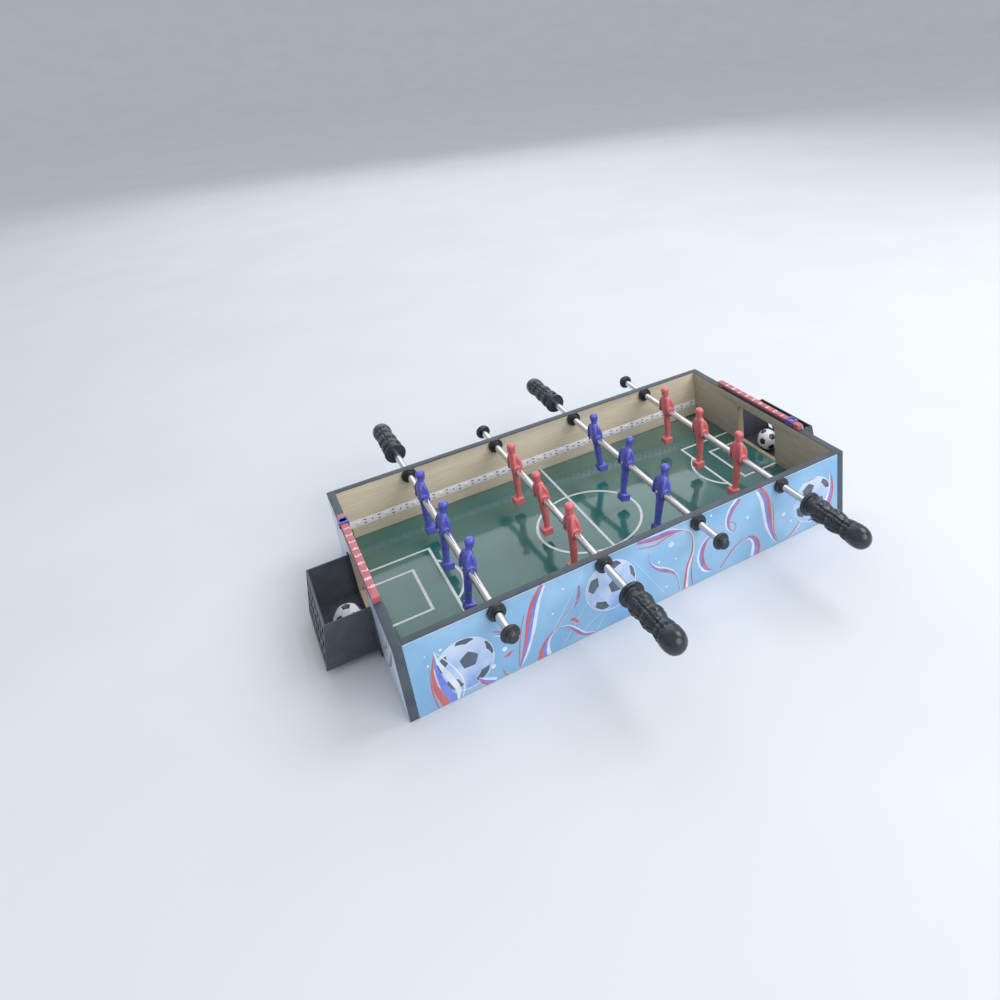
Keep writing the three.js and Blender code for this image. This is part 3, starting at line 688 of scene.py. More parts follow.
def football_mesh(name, radius, seam_depth, steps=6):
    """A ball of stitched panels whose edges sink into their seams."""
    bm = bmesh.new()
    for index, faces in enumerate((SIXES, FIVES)):
        for corners in faces:
            centre = sum(corners, Vector()).normalized()
            for a, b in zip(corners, corners[1:] + corners[:1]):
                grid = {}
                for i in range(steps + 1):
                    for j in range(steps + 1 - i):
                        inward = 1 - (i + j) / steps
                        way = (centre * inward + a * (i / steps) + b * (j / steps)).normalized()
                        # The slope into the seam takes up the outer fifth of the panel.
                        sink = seam_depth * (1 - min(1.0, inward * 5)) ** 2
                        grid[i, j] = bm.verts.new(way * (radius - sink))
                for i in range(steps):
                    for j in range(steps - i):
                        bm.faces.new((grid[i, j], grid[i + 1, j], grid[i, j + 1])).material_index = index
                        if i + j < steps - 1:
                            corner = (grid[i + 1, j], grid[i + 1, j + 1], grid[i, j + 1])
                            bm.faces.new(corner).material_index = index
    bmesh.ops.remove_doubles(bm, verts=bm.verts, dist=radius * 1e-4)
    return mesh_of(name, bm)


# Turns a dark panel of the football to face straight out.
FACE_FORWARD = math.atan(2 / (1 + 5**0.5))
RIM_SHARE = 0.985
SEAM_HALF = 0.3
RIM_SIDES = 64
# Seams and panels whose height above the rim is less than this, on a ball of radius 1, are left out.
LEAST_SEAM, LEAST_PANEL = 0.12, 0.1


def printed_football(decals, u, v, radius, turn, steps=5):
    """A football drawn flat, tilted right, tilted up and spun: dark panels, pale seams and a light rim."""
    right, up, spin = turn
    place = Matrix.Rotation(right, 3, "Y") @ Matrix.Rotation(-up, 3, "X") @ Matrix.Rotation(spin, 3, "Z")
    place = place @ Matrix.Rotation(FACE_FORWARD, 3, "X")

    def flat(point):
        # Points behind the ball's rim are drawn on it.
        scale = radius * RIM_SHARE
        if point.z <= 0:
            scale /= math.hypot(point.x, point.y)
        return u + point.x * scale, v + point.y * scale

    decals.layer += 1
    for corners in SIXES:
        for k in (1, 3, 5):
            a, b = place @ corners[k], place @ corners[(k + 1) % 6]
            if min(a.z, b.z) < LEAST_SEAM:
                continue
            line = [flat((a * (1 - t / steps) + b * (t / steps)).normalized()) for t in range(steps + 1)]
            decals.ribbon([(x, y, SEAM_HALF) for x, y in line], [INK_SEAM], steps=0)
    decals.layer += 1
    for corners in FIVES:
        turned_corners = [place @ corner for corner in corners]
        if max(corner.z for corner in turned_corners) < LEAST_PANEL:
            continue
        rim = []
        for a, b in zip(turned_corners, turned_corners[1:] + turned_corners[:1]):
            rim += [flat((a * (1 - t / steps) + b * (t / steps)).normalized()) for t in range(steps)]
        count = len(rim)
        middle = (sum(p[0] for p in rim) / count, sum(p[1] for p in rim) / count)
        faces = [((i, (i + 1) % count, count), INK_DARK) for i in range(count)]
        decals.add([*rim, middle], faces)
    decals.layer += 1
    rim = [(x, y, SEAM_HALF) for x, y in circle(u, v, radius, RIM_SIDES)]
    decals.ribbon(rim, [INK_WHITE], closed=True, steps=0)


# ---------------- printed film
TRIO = [INK_WHITE, INK_BLUE, INK_RED]
TRIO_BACK = [INK_RED, INK_BLUE, INK_WHITE]
THIN = 0.45
# Ribbons by (across, up, half width), from their upper end, with their inks from left to right
# as the ribbon runs.
LONG_RIBBONS = [
    ([(-222, 61, 0.2), (-226.5, 47, 0.8), (-228, 35, 1.4), (-227.5, 21, 2.5), (-223, 4, 3.3), (-222, 0, 3.3)],
     [INK_RED]),
    ([(-222, 60, 0.2), (-224, 48, 1.0), (-223, 36, 2.0), (-220, 18, 3.3), (-215, 3, 3.6), (-214, 0, 3.6)],
     [INK_BLUE]),
    ([(-223, 62, 0.2), (-221, 48, 1.4), (-215, 29, 2.7), (-209.5, 12, 2.4), (-211, 0, 0.8)], [INK_WHITE]),
    ([(-222, 60, 0.2), (-211, 40, 0.6), (-204.5, 23, 0.8), (-203.5, 10, 0.7), (-207, 1, 0.3)], [INK_WHITE]),
    ([(-226, 51, 0.2), (-230.5, 34, 0.5), (-231, 16, 0.6), (-229, 0, 0.7)], [INK_RED]),
    ([(-190, 12, 0.6), (-185, 6, 3.2), (-176, 0, 4.4)], TRIO),
    ([(-170, 54, 0.4), (-164, 51, 0.9), (-156, 43, 0.7)], [INK_RED]),
    ([(-170, 50, 0.4), (-164, 47, 1.1), (-157, 40, 0.8)], [INK_BLUE, INK_WHITE]),
    ([(-117, 80, 2.6), (-126, 66, 4.8), (-132, 50, 5.6), (-137, 33, 4.6), (-144, 15, 2.9), (-151, 2, 0.6)],
     TRIO),
    ([(-139, 58, 0.2), (-145, 39, THIN), (-149, 20, THIN), (-152, 4, 0.4)], [INK_RED]),
    ([(-113, 25, 0.4), (-121, 17, 2.6), (-125, 8, 5.4), (-126, 0, 7.4)], TRIO),
    ([(-82, 50, 0.3), (-94, 41, THIN), (-109, 27, THIN), (-120, 19, 0.3)], [INK_WHITE, INK_RED]),
    ([(-82, 62, 1.0), (-84, 50, 1.8), (-90, 39, 0.4)], [INK_BLUE, INK_RED]),
    ([(-106, 25, 0.3), (-98, 22, 1.3), (-91, 14, 2.3), (-83, 5, 2.0), (-72, 1, 0.4)], TRIO),
    ([(-96, 28, 0.5), (-92, 27, 1.6), (-88, 22, 1.3)], [INK_RED]),
    ([(-164, 22, 0.5), (-160, 22, 1.6), (-155, 25, 0.4)], [INK_RED]),
    ([(-167, 9, 0.3), (-166, 4, 0.6), (-164, 0, 0.6)], [INK_RED]),
    ([(-16, 80, 2.0), (4, 77.5, 3.6), (22, 76.5, 3.2), (36, 72, 0.6)], TRIO, [0.6, 1.1, 1.0]),
    ([(-16, 73, 0.4), (3, 68.5, 0.6), (20, 72, 0.6), (34, 73, 0.3)], [INK_RED]),
    ([(35, 73, 0.5), (45, 66, 0.9), (48, 54, 1.2), (46, 40, 1.6), (39, 25, 2.0), (34, 1, 2.6)],
     [INK_WHITE, INK_RED]),
    ([(47, 36, 0.3), (44, 24, THIN), (42.5, 12, 0.6), (43, 1, 0.6)], [INK_RED]),
    ([(-4, 62, 0.5), (-4, 51, 0.8), (3, 41, 2.0), (12, 35, 2.8), (21, 28, 1.9), (26, 18, 0.6), (27, 3, 0.8)],
     TRIO),
    ([(88, 57, 0.3), (72, 52, 1.0), (60, 43, 3.2), (55, 29, 4.4), (59, 14, 3.4), (69, 6, 0.3)], TRIO_BACK),
    ([(78, 5, 0.3), (88, 13, 0.6), (99, 23, 0.6), (111, 28, 0.3)], [INK_RED]),
    ([(108, 80, 3.2), (97, 70, 3.8), (91.5, 58, 3.0), (93, 48, 1.8), (99, 42, 0.4)], TRIO_BACK),
    ([(95, 57, 0.3), (101, 52, THIN), (102, 46, THIN), (98, 42, 0.3)], [INK_RED]),
    ([(112, 26, 0.4), (120, 25.5, 2.2), (126, 18, 4.6), (127, 9, 6.0), (125, 0, 6.6)], TRIO_BACK),
    ([(134, 80, 4.4), (141, 66, 6.2), (144, 46, 6.0), (146, 28, 4.4), (151, 12, 2.0), (156, 3, 0.5)],
     TRIO_BACK),
    ([(152, 56, 0.3), (153, 42, THIN), (153, 20, THIN), (157, 5, 0.4)], [INK_RED]),
    ([(234, 65, 0.3), (236.5, 52, 2.4), (236, 38, 4.2), (231, 24, 5.4), (226, 12, 3.4)], TRIO_BACK),
    ([(190, 15, 1.4), (182, 7, 1.4), (170, 0, 0.4)], [INK_WHITE, INK_RED]),
]
# Dots by (across, up, radius), and footballs by the same and how they are turned.
LONG_DOTS = [
    (-230, 49, 1.1), (-217, 60, 1.4), (-231, 60, 0.8), (-162, 30, 2.4), (-175, 17, 2.2), (22, 61, 3.2),
    (167, 35, 2.4), (177, 22, 1.5), (26, 42, 1.1), (6, 47, 1.4), (72, 74, 1.2), (-98, 66, 1.2),
    (118, 52, 1.6), (-112, 44, 1.0), (205, 9, 1.4), (12, 14, 1.3), (66, 66, 0.9),
]
NET_LINES = [((-76, 74), (-124, 12)), ((-70, 46), (-108, 1)), ((-64, 20), (-98, 1)), ((-22, 62), (10, 6)),
             ((-26, 30), (-10, 1)), ((-58, 18), (-70, 1))]
LONG_BALLS = [(-199.5, 33.5, 27.5, (0.18, 0.12, -0.7)), (-49, 46, 27.5, (0.22, -0.07, 0.56)),
              (209, 37, 27.5, (-0.3, 0.6, 0.7))]
END_RIBBONS = [
    ([(148, 79, 0.5), (138, 66, 2.6), (124, 48, 4.0), (104, 28, 3.4), (80, 8, 0.6)], TRIO),
    ([(132, 80, 0.4), (118, 62, 0.7), (98, 44, 0.7), (76, 30, 0.4)], [INK_RED]),
    ([(-148, 22, 0.5), (-130, 36, 3.2), (-108, 58, 4.2), (-84, 72, 3.0), (-62, 80, 0.6)], TRIO_BACK),
    ([(-140, 60, 0.4), (-120, 70, 0.7), (-96, 79, 0.4)], [INK_RED]),
    ([(52, 79, 1.0), (30, 73.5, 2.4), (0, 73.5, 2.6), (-30, 77, 1.2), (-48, 80, 0.4)], TRIO),
]
END_DOTS = [(118, 20, 2.2), (136, 34, 1.4), (-118, 24, 2.6), (-96, 36, 1.4), (96, 66, 1.6), (-72, 52, 1.8)]
NET_HALF = 0.18
FILM_EDGE_HALF = 0.3
RIBBON_LAYER = 6


def print_wall(name, place, limits, ribbons, dots, balls=(), lines=()):
    """The whole printed design of one wall, and the white edge of its film."""
    # The film isn't cut away round the bushings, so two rods pass through it. Their bushings hide that.
    decals = Decals(place, limits)
    for (u1, v1), (u2, v2) in lines:
        decals.ribbon([(u1, v1, NET_HALF), (u2, v2, NET_HALF)], [INK_SEAM], steps=0)
    for u, v, radius in dots:
        decals.disc(u, v, radius, INK_WHITE)
    for u, v, radius, turn in balls:
        decals.layer = 1
        printed_football(decals, u, v, radius, turn)
    for number, (points, inks, *shares) in enumerate(ribbons):
        decals.layer = RIBBON_LAYER + number % 3
        decals.ribbon(points, inks, *shares)
    low_u, high_u, _, high_v = limits
    decals.layer = 0
    edge = high_v - FILM_EDGE_HALF
    decals.ribbon([(low_u, edge, FILM_EDGE_HALF), (high_u, edge, FILM_EDGE_HALF)], [INK_WHITE], steps=0)
    decals.piece(name, "printed_board")
    for number, (u, v, radius, _) in enumerate(balls):
        middle = Vector(place(u, v, 0))
        disc = Decals(lambda a, b, lift: Vector(place(a, b, lift)) - middle, limits)
        fan = [((i, (i + 1) % RIM_SIDES, RIM_SIDES), PRINT_BALL) for i in range(RIM_SIDES)]
        disc.add([*circle(u, v, radius, RIM_SIDES), (u, v)], fan)
        piece = disc.piece(f"{name}_ball_{number + 1}", "printed_board")
        piece.matrix_world = Matrix.Translation(middle * MM)


LONG_LIMITS = (-INNER_X + 0.4, INNER_X - 0.4, 0.6, PANEL_TOP - 0.1)
END_LIMITS = (-HALF_WIDTH + 0.6, HALF_WIDTH - 0.6, 0.6, PANEL_TOP - 0.1)
LONG_DESIGN = (LONG_LIMITS, LONG_RIBBONS, LONG_DOTS, LONG_BALLS, NET_LINES)
END_DESIGN = (END_LIMITS, END_RIBBONS, END_DOTS)
print_wall("front_print", lambda u, v, lift: (u, -HALF_WIDTH - lift, v), *LONG_DESIGN)
print_wall("rear_print", lambda u, v, lift: (-u, HALF_WIDTH + lift, v), *LONG_DESIGN)
print_wall("left_print", lambda u, v, lift: (-HALF_LENGTH - lift, -u, v), *END_DESIGN)
print_wall("right_print", lambda u, v, lift: (HALF_LENGTH + lift, u, v), *END_DESIGN)


# ---------------- pitch markings
LINE_HALF = 1.5
CIRCLE_RADIUS = 61.0
LARGE_BOX = (172.3, 66.0)
SMALL_BOX = (198.2, 38.0)
ARC_CENTRE = 208.8
ARC_RADIUS = 53.4


def mitred(corners, half):
    """The two edges of a line of straight runs with square-cut corners."""
    left, right = [], []
    for i, corner in enumerate(corners):
        at = Vector(corner)
        before = (at - Vector(corners[i - 1])).normalized() if i else None
        after = (Vector(corners[i + 1]) - at).normalized() if i + 1 < len(corners) else None
        before, after = before or after, after or before
        across = Vector((-before.y - after.y, before.x + after.x)).normalized()
        reach = half / across.dot(Vector((-before.y, before.x)))
        left.append(tuple(at + across * reach))
        right.append(tuple(at - across * reach))
    return left, right


def pitch_line(decals, corners):
    """Adds a painted line of straight runs."""
    left, right = mitred(corners, LINE_HALF)
    count = len(left)
    faces = [((i, i + 1, count + i + 1, count + i), LINE_PAINT) for i in range(count - 1)]
    decals.add(left + right, faces)


lines = Decals(lambda u, v, lift: (u, v, FIELD_TOP + lift), (-INNER_X, INNER_X, -INNER_Y, INNER_Y))
pitch_line(lines, [(0, -INNER_Y), (0, INNER_Y)])
lines.layer = 1
centre_circle = [(x, y, LINE_HALF) for x, y in circle(0, 0, CIRCLE_RADIUS, 96)]
lines.ribbon(centre_circle, [LINE_PAINT], closed=True, steps=0)
meeting = math.acos((ARC_CENTRE - LARGE_BOX[0]) / ARC_RADIUS)
for side in (-1, 1):
    for number, (x, y) in enumerate((LARGE_BOX, SMALL_BOX)):
        lines.layer = 2 + number
        pitch_line(lines, [(side * INNER_X, -y), (side * x, -y), (side * x, y), (side * INNER_X, y)])
    lines.layer = 1
    sweep = [meeting * (k / 20 - 1) for k in range(41)]
    lines.ribbon([(side * (ARC_CENTRE - ARC_RADIUS * math.cos(a)), ARC_RADIUS * math.sin(a), LINE_HALF)
                  for a in sweep], [LINE_PAINT], steps=0)
lines.piece("pitch_lines", "pitch")


# ---------------- round metal and nylon parts
ROD_SIDES = 48
BUSHING_PROFILE = [
    (4.5, 3), (4.5, -7), (5.8, -7), (5.8, -4), (8.8, -4), (8.8, 0), (6.2, 0), (6.2, BOARD), (7, BOARD),
    (7, BOARD + 1.2), (4.5, BOARD + 1.2), (4.5, 3),
]
CAP_PROFILE = [
    (0, 3.5), (4.35, 3.5), (4.35, 0), (7.2, 0), (9, 1.6), (9, 4.2), (5.2, 5.0), (5.0, 6.0), (5.9, 6.9),
    (5.7, 9.8), (3.8, 11.6), (0, 12),
]
SCREW_PROFILE = [(0, 0), (1.7, 0), (1.7, 0.5), (1.2, 1.0), (0.55, 1.1), (0.5, 0.7), (0, 0.7)]

start, end = ROD_ENDS
rod_mesh = mesh_of("rod", turned([
    (ROD_BORE, start), (ROD_RADIUS - 0.3, start), (ROD_RADIUS, start + 0.3), (ROD_RADIUS, end - 0.3),
    (ROD_RADIUS - 0.3, end), (ROD_BORE, end), (ROD_BORE, start),
], ROD_SIDES))
bushing_mesh = mesh_of("bushing", turned(eased(BUSHING_PROFILE, 0.9), 64))
cap_mesh = mesh_of("end_cap", turned(eased(CAP_PROFILE, 1.3, 5)))
screw_mesh = mesh_of("screw", turned(eased(SCREW_PROFILE, 0.3), 24))

for index, x in enumerate(ROD_X):
    for word, y in (("front", -HALF_WIDTH), ("rear", INNER_Y)):
        place = Matrix.Translation(Vector((x, y, ROD_HEIGHT)) * MM)
        finished(f"{word}_bush_{index + 1}", bushing_mesh, [BUSHING], "cabinet",
                 (f"{word}_bushing_{index + 1}",), place)


# ---------------- handles
GRIP_OUTLINE = [
    (0, 11.4), (0.4, 12.4), (1.2, 13.0), (2.8, 13.0), (3.7, 12.3), (4.3, 10.4), (4.9, 8.9), (6.2, 8.4),
    (11.8, 8.4), (13.0, 8.7), (13.7, 9.7), (14.4, 11.0), (16, 12.0), (19.5, 12.3), (24, 11.7), (28, 10.4),
    (31, 10.2), (35, 11.3), (39.5, 11.9), (44, 11.4), (48, 10.2), (51, 9.7), (55, 10.3), (60, 11.1),
    (66, 11.7), (72, 11.7), (76.5, 10.9), (80, 9.2), (82.6, 6.8), (84.2, 4.0), (84.9, 1.4),
]
GRIP_SOCKET = 64.0
GRIP_BORE = 4.15
RIB_SPREAD = 54.0
RIB_PITCH = 27.0
RIB_HEIGHT = 1.3
RIB_SINK = 0.8
RIB_CUT = 1.5
RIB_CUT_WIDTH = 1.6
RIB_FROM, RIB_TO = 16.0, 66.0
CREASES = (22.5, 32.0, 42.0, 52.5, 62.0)
CREASE_DEPTH = 1.0
CREASE_WIDTH = 1.0
CREASE_BEND = 1.5
# Degrees round the grip, then half sizes along it in millimetres and round it in degrees.
DIMPLE_AT, DIMPLE_LONG, DIMPLE_WIDE = 62.0, 2.2, 9.0
RIB_STEP = 1.5
SMOOTH_COLUMNS = 44
GRIP_TIP = 84.95
# Where the ribs face, in degrees about the rod, by the side the handle is on.
RIB_SIDE = {1: 148.0, -1: 22.0}


def window(value, low, high, blend):
    """1 between low and high, easing to 0 over blend."""
    inside = min(value - low, high - value) / blend
    t = min(max(inside, 0.0), 1.0)
    return t * t * (3 - 2 * t)


def grip_offset(distance, degrees):
    """Ribs down one side of the grip, cut by the finger creases that run round the rest, and dimples."""
    offset = 0.0
    around = abs(degrees)
    if around < RIB_SPREAD:
        wave = 0.5 + 0.5 * math.cos(TAU * degrees / RIB_PITCH)
        edge = window(degrees, -RIB_SPREAD, RIB_SPREAD, 4.0) * window(distance, RIB_FROM, RIB_TO, 3.0)
        cut = min((distance - crease) ** 2 for crease in CREASES)
        return RIB_HEIGHT * (wave**0.5 - RIB_SINK) * edge - RIB_CUT * math.exp(-cut / RIB_CUT_WIDTH)
    for number, crease in enumerate(CREASES):
        bend = crease + (CREASE_BEND if number % 2 else -CREASE_BEND) * math.cos(math.radians(2 * degrees))
        depth = math.exp(-((distance - bend) / CREASE_WIDTH) ** 2)
        offset -= CREASE_DEPTH * depth * window(around, RIB_SPREAD, 360.0, 16.0)
        dimple = ((distance - crease) / DIMPLE_LONG) ** 2 + ((around - DIMPLE_AT) / DIMPLE_WIDE) ** 2
        offset -= CREASE_DEPTH * math.exp(-dimple)
    return offset


def grip_mesh():
    """A grip with a blind socket, drawn with closer columns over its ribs."""
    dense = [-RIB_SPREAD + RIB_STEP * k for k in range(int(2 * RIB_SPREAD / RIB_STEP) + 1)]
    rest = 360 - 2 * RIB_SPREAD
    angles = dense + [RIB_SPREAD + rest * (k + 1) / SMOOTH_COLUMNS for k in range(SMOOTH_COLUMNS - 1)]
    rings = [[(0, GRIP_SOCKET, 0)]]
    sides = [math.radians(a) for a in angles]
    for y in (GRIP_SOCKET, 0):
        rings.append([(GRIP_BORE * math.cos(a), y, GRIP_BORE * math.sin(a)) for a in sides])
    for distance, radius in smooth_line(GRIP_OUTLINE, 4):
        ring = []
        for degrees, a in zip(angles, sides):
            around = degrees if degrees <= 180 else degrees - 360
            r = radius + grip_offset(distance, around)
            ring.append((r * math.cos(a), distance, r * math.sin(a)))
        rings.append(ring)
    rings.append([(0, GRIP_TIP, 0)])
    return mesh_of("grip", surface_of_turn(rings))


grip = grip_mesh()


# ---------------- men
# Height, half depth, half width, forward offset and squareness of each ring from head to ankle.
BODY_RINGS = [
    (32.3, 1.8, 1.8, 1.2, 2), (32.0, 3.0, 3.0, 1.2, 2), (31.2, 4.2, 4.1, 1.2, 2), (29.8, 5.0, 4.8, 1.1, 2),
    (28.0, 5.2, 5.0, 1.0, 2), (26.4, 4.9, 4.7, 1.0, 2), (25.2, 4.4, 4.2, 1.0, 2), (23.4, 4.2, 3.9, 1.1, 2),
    (21.6, 3.9, 3.5, 0.9, 2), (20.2, 3.4, 3.3, 0.5, 2), (19.0, 3.6, 3.9, 0.3, 2), (17.6, 4.2, 5.8, 0.1, 2.1),
    (15.2, 4.8, 7.5, 0, 2.2), (12.0, 5.1, 8.7, 0, 2.3), (8.0, 5.3, 9.4, 0, 2.4), (4.5, 5.4, 9.7, 0, 2.4),
    (1.0, 5.4, 9.3, 0, 2.4), (-1.8, 5.3, 8.2, 0, 2.3), (-4.2, 5.1, 6.6, 0.2, 2.3), (-7.0, 4.7, 5.3, 0.4, 2.2),
    (-11.0, 4.4, 4.7, 0.6, 2.2), (-20.0, 4.1, 4.3, 0.8, 2.3), (-31.0, 3.6, 3.8, 1.1, 2.3),
    (-38.5, 3.4, 3.6, 1.4, 2.4), (-41.0, 3.9, 4.4, 1.9, 2.6),
]
FOOT_LOW, FOOT_HIGH = (-2.6, -6.0, -48.0), (8.8, 6.0, -40.0)
# Nose, chin and one arm, each a run of (forward, across, height, radius) from its top, and how far
# their tips run past their ends.
FACE = [
    [(5.1, 0, 26.0, 0.5), (5.9, 0, 24.7, 0.9), (5.4, 0, 23.5, 0.6)],
    [(4.1, 0, 22.9, 1.2), (4.7, 0, 21.7, 1.3), (3.7, 0, 20.7, 1.0)],
]
FACE_TIP = 0.4
ARM = [(1.6, 6.4, 16.4, 1.8), (2.9, 7.9, 12.4, 2.1), (3.7, 8.7, 8.2, 2.1), (3.8, 8.7, 3.6, 2.1)]
ARM_TIP = 1.3
CUFF_FROM, CUFF_TO, CUFF_RADIUS = 8.6, 10.9, 6.0
MAN_BORE = 4.35
BORE_REACH = 20
VOXEL = 0.42
FACES_KEPT = 0.22


def body_ring(z, depth, width, forward, power, sides=30):
    """One level ring of a man, from round (power 2) to squarer."""
    ring = []
    for i in range(sides):
        c, s = math.cos(TAU * i / sides), math.sin(TAU * i / sides)
        ring.append((forward + depth * math.copysign(abs(c) ** (2 / power), c),
                     width * math.copysign(abs(s) ** (2 / power), s), z))
    return ring


def flat_ring(x, y, z, radius, sides):
    """A level circle of points."""
    return [(*corner, z) for corner in circle(x, y, radius, sides)]


def limb(points, sides, tip):
    """A round limb along points from its top, with a tip beyond each end."""
    (x1, y1, z1, _), (x2, y2, z2, _) = points[0], points[-1]
    rings = [flat_ring(*point, sides) for point in points]
    return surface_of_turn([[(x1, y1, z1 + tip)], *rings, [(x2, y2, z2 - tip)]])


def man_mesh(name):
    """A man made of lofts, fused and smoothed, then bored for his rod."""
    bm = bmesh.new()
    rings = [body_ring(*ring) for ring in smooth_line(BODY_RINGS, 3)]
    top, bottom = BODY_RINGS[0], BODY_RINGS[-1]
    absorb(bm, surface_of_turn([[(0, 0, top[0])], *rings, [(bottom[3], 0, bottom[0])]]))
    add_box(bm, FOOT_LOW, FOOT_HIGH, 0.5)
    for feature in FACE:
        absorb(bm, limb(smooth_line(feature, 4), 12, FACE_TIP))
    for side in (-1, 1):
        for facing in (-1, 1):
            arm = [(facing * x, side * y, z, r) for x, y, z, r in smooth_line(ARM, 5)]
            absorb(bm, limb(arm, 16, ARM_TIP))
        cuff = eased([(0, CUFF_FROM), (CUFF_RADIUS, CUFF_FROM), (CUFF_RADIUS, CUFF_TO), (0, CUFF_TO)], 0.8)
        absorb(bm, turned([(radius, side * y) for radius, y in cuff], 40))
    bore_outline = [(0, -BORE_REACH), (MAN_BORE, -BORE_REACH), (MAN_BORE, BORE_REACH), (0, BORE_REACH)]
    bore = put("bore", mesh_of("bore", turned(bore_outline, 40)))
    mesh = baked_down(name, bm, [
        ("REMESH", {"mode": "VOXEL", "voxel_size": VOXEL * MM}),
        ("SMOOTH", {"factor": 0.5, "iterations": 3}),
        ("BOOLEAN", {"operation": "DIFFERENCE", "object": bore, "solver": "EXACT"}),
        ("DECIMATE", {"ratio": FACES_KEPT}),
    ])
    bpy.data.objects.remove(bore)
    return mesh


man_meshes = {"blue": man_mesh("blue_man"), "red": man_mesh("red_man")}
TEAM_PLASTIC = {"blue": BLUE, "red": RED}
SCREW_BACK = -5.3

for index in range(len(ROD_X)):
    number = index + 1
    side = HANDLE_SIDE[index]
    team = "blue" if index % 2 == 0 else "red"
    place = rod_place(index, ROD_LEAN[index])
    spinner = f"rod_{number}_spinner"
    finished(f"steel_rod_{number}", rod_mesh, [STEEL], spinner, (f"rod_{number}",), place)
    for k, letter in enumerate("abc"):
        stand = rod_place(index, MAN_LEANS[index][k])
        stand = stand @ Matrix.Translation((0, (k - 1) * MAN_SPACING * MM, 0))
        finished(f"player_{number}{letter}", man_meshes[team], [TEAM_PLASTIC[team]], spinner,
                 (f"{team}_man_{number}{letter}",), stand, crease=50)
        back = stand @ Matrix.Translation((SCREW_BACK * MM, 0, 0)) @ Matrix.Rotation(math.pi / 2, 4, "Z")
        finished(f"player_screw_{number}{letter}", screw_mesh, [SCREW_STEEL], spinner, place=back)
    turn = Matrix.Rotation(-math.radians(RIB_SIDE[side] + side * ROD_LEAN[index]), 4, "Y")
    grip_place = place @ Matrix.Translation((0, HANDLE_START * MM, 0)) @ turn
    finished(f"grip_{number}", grip, [GRIP], spinner, (f"handle_{number}",), grip_place, crease=42)
    cap_place = place @ Matrix.Translation((0, CAP_INNER * MM, 0)) @ Matrix.Rotation(math.pi, 4, "Z")
    finished(f"cap_{number}", cap_mesh, [GRIP], f"rod_{number}_carriage", (f"end_cap_{number}",),
             cap_place, crease=42)


# ---------------- scorers
DIGIT_HEIGHT = 6.6
# The font's size for a digit one unit high.
FONT_SHARE = 1.38
DIGIT_RAISED = 0.09
DIGIT_BOLDER = 0.12
DIGIT_FIRST = 49.6
DIGIT_PITCH = 14.2


def digit_mesh(digit):
    """A raised digit, upright along Y and centred on the origin, in millimetres."""
    text = bpy.data.curves.new(f"digit_{digit}", "FONT")
    text.body = digit
    text.align_x = "CENTER"
    text.align_y = "CENTER"
    text.size = DIGIT_HEIGHT * FONT_SHARE
    text.extrude = DIGIT_RAISED
    text.offset = DIGIT_BOLDER
    mesh = frozen(put("digit", text))
    bm = bmesh.new()
    bm.from_mesh(mesh)
    bpy.data.meshes.remove(mesh)
    bmesh.ops.remove_doubles(bm, verts=bm.verts, dist=1e-4)
    return bm


for side, word in ((-1, "left"), (1, "right")):
    softened(f"{word}_scorer", f"{word}_score_bar", "cabinet", [BAR_RED], 0.6, segments=3)
    softened(f"{word}_counter", f"{word}_score_slider", f"{word}_score_rider", [BLUE], 0.45)
    digits = bmesh.new()
    for k in range(9):
        number = digit_mesh(str(k + 1))
        turn = Matrix.Rotation(side * math.pi / 2, 4, "Z")
        y = -side * (DIGIT_FIRST - k * DIGIT_PITCH)
        number.transform(Matrix.Translation((side * SCORE_X, y, SCORE_TOP)) @ turn)
        absorb(digits, number)
    finished(f"{word}_digits", mesh_of(f"{word}_digits", digits), [DIGIT_INK], "cabinet")


# ---------------- goals and balls
# Blender's overlap clamp cuts this softening to nothing, so the goal boxes keep sharp edges.
for word in ("left", "right"):
    softened(f"{word}_goal", f"{word}_goal_box", "cabinet", [GOAL], 0.3)

ball_mesh = football_mesh("football", BALL_RADIUS - 0.05, seam_depth=0.3)
BALL_TURN = {"left": (0.5, 0.3, 0.4), "right": (1.2, 0.4, 0.9)}
for word, turn in BALL_TURN.items():
    low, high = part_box(f"{word}_ball")
    place = Matrix.Translation((low + high) / 2)
    for angle, axis in zip(turn, "XYZ"):
        place = place @ Matrix.Rotation(angle, 4, axis)
    finished(f"{word}_football", ball_mesh, [BALL_WHITE, BALL_BLACK], f"{word}_loose_ball",
             (f"{word}_ball",), place, crease=60)

MOUTH_SCREW_AT = Vector((-249.5, 38.0, 19.6))
screw_place = Matrix.Translation(MOUTH_SCREW_AT * MM) @ Matrix.Rotation(math.pi, 4, "Z")
dark_screw_mesh = screw_mesh.copy()
dark_screw_mesh.materials.clear()
finished("mouth_screw", dark_screw_mesh, [CHIP_BLACK], "cabinet", place=screw_place)


# ---------------- light strip
STRIP_FINISHES = [STRIP, PHOSPHOR, COPPER, CHIP_BLACK]
STRIP_WHITE, STRIP_YELLOW, STRIP_COPPER, STRIP_BLACK = range(4)
STRIP_MIDDLE = (STRIP_BOTTOM + STRIP_TOP) / 2
CHIP_HALF = 1.75
CHIP_DEEP = 0.9
GLOW_HALF = 1.35
GLOW_RISE = 0.04
# Copper pads, by their places as shares of the pitch, and the resistors between the chips.
PAD_SPOTS = (0.24, 0.74)
PAD_UP = 2.2
PAD_HALF, PAD_RISE = (1.5, 0.8), 0.06
RESISTOR_HALF, RESISTOR_RISE = (0.7, 0.9), 0.3
INTO_STRIP = 0.1
STRIP_GAP = 0.02
# The last pad or resistor stays this far from the strip's end.
END_GAP = 3
strip = bmesh.new()


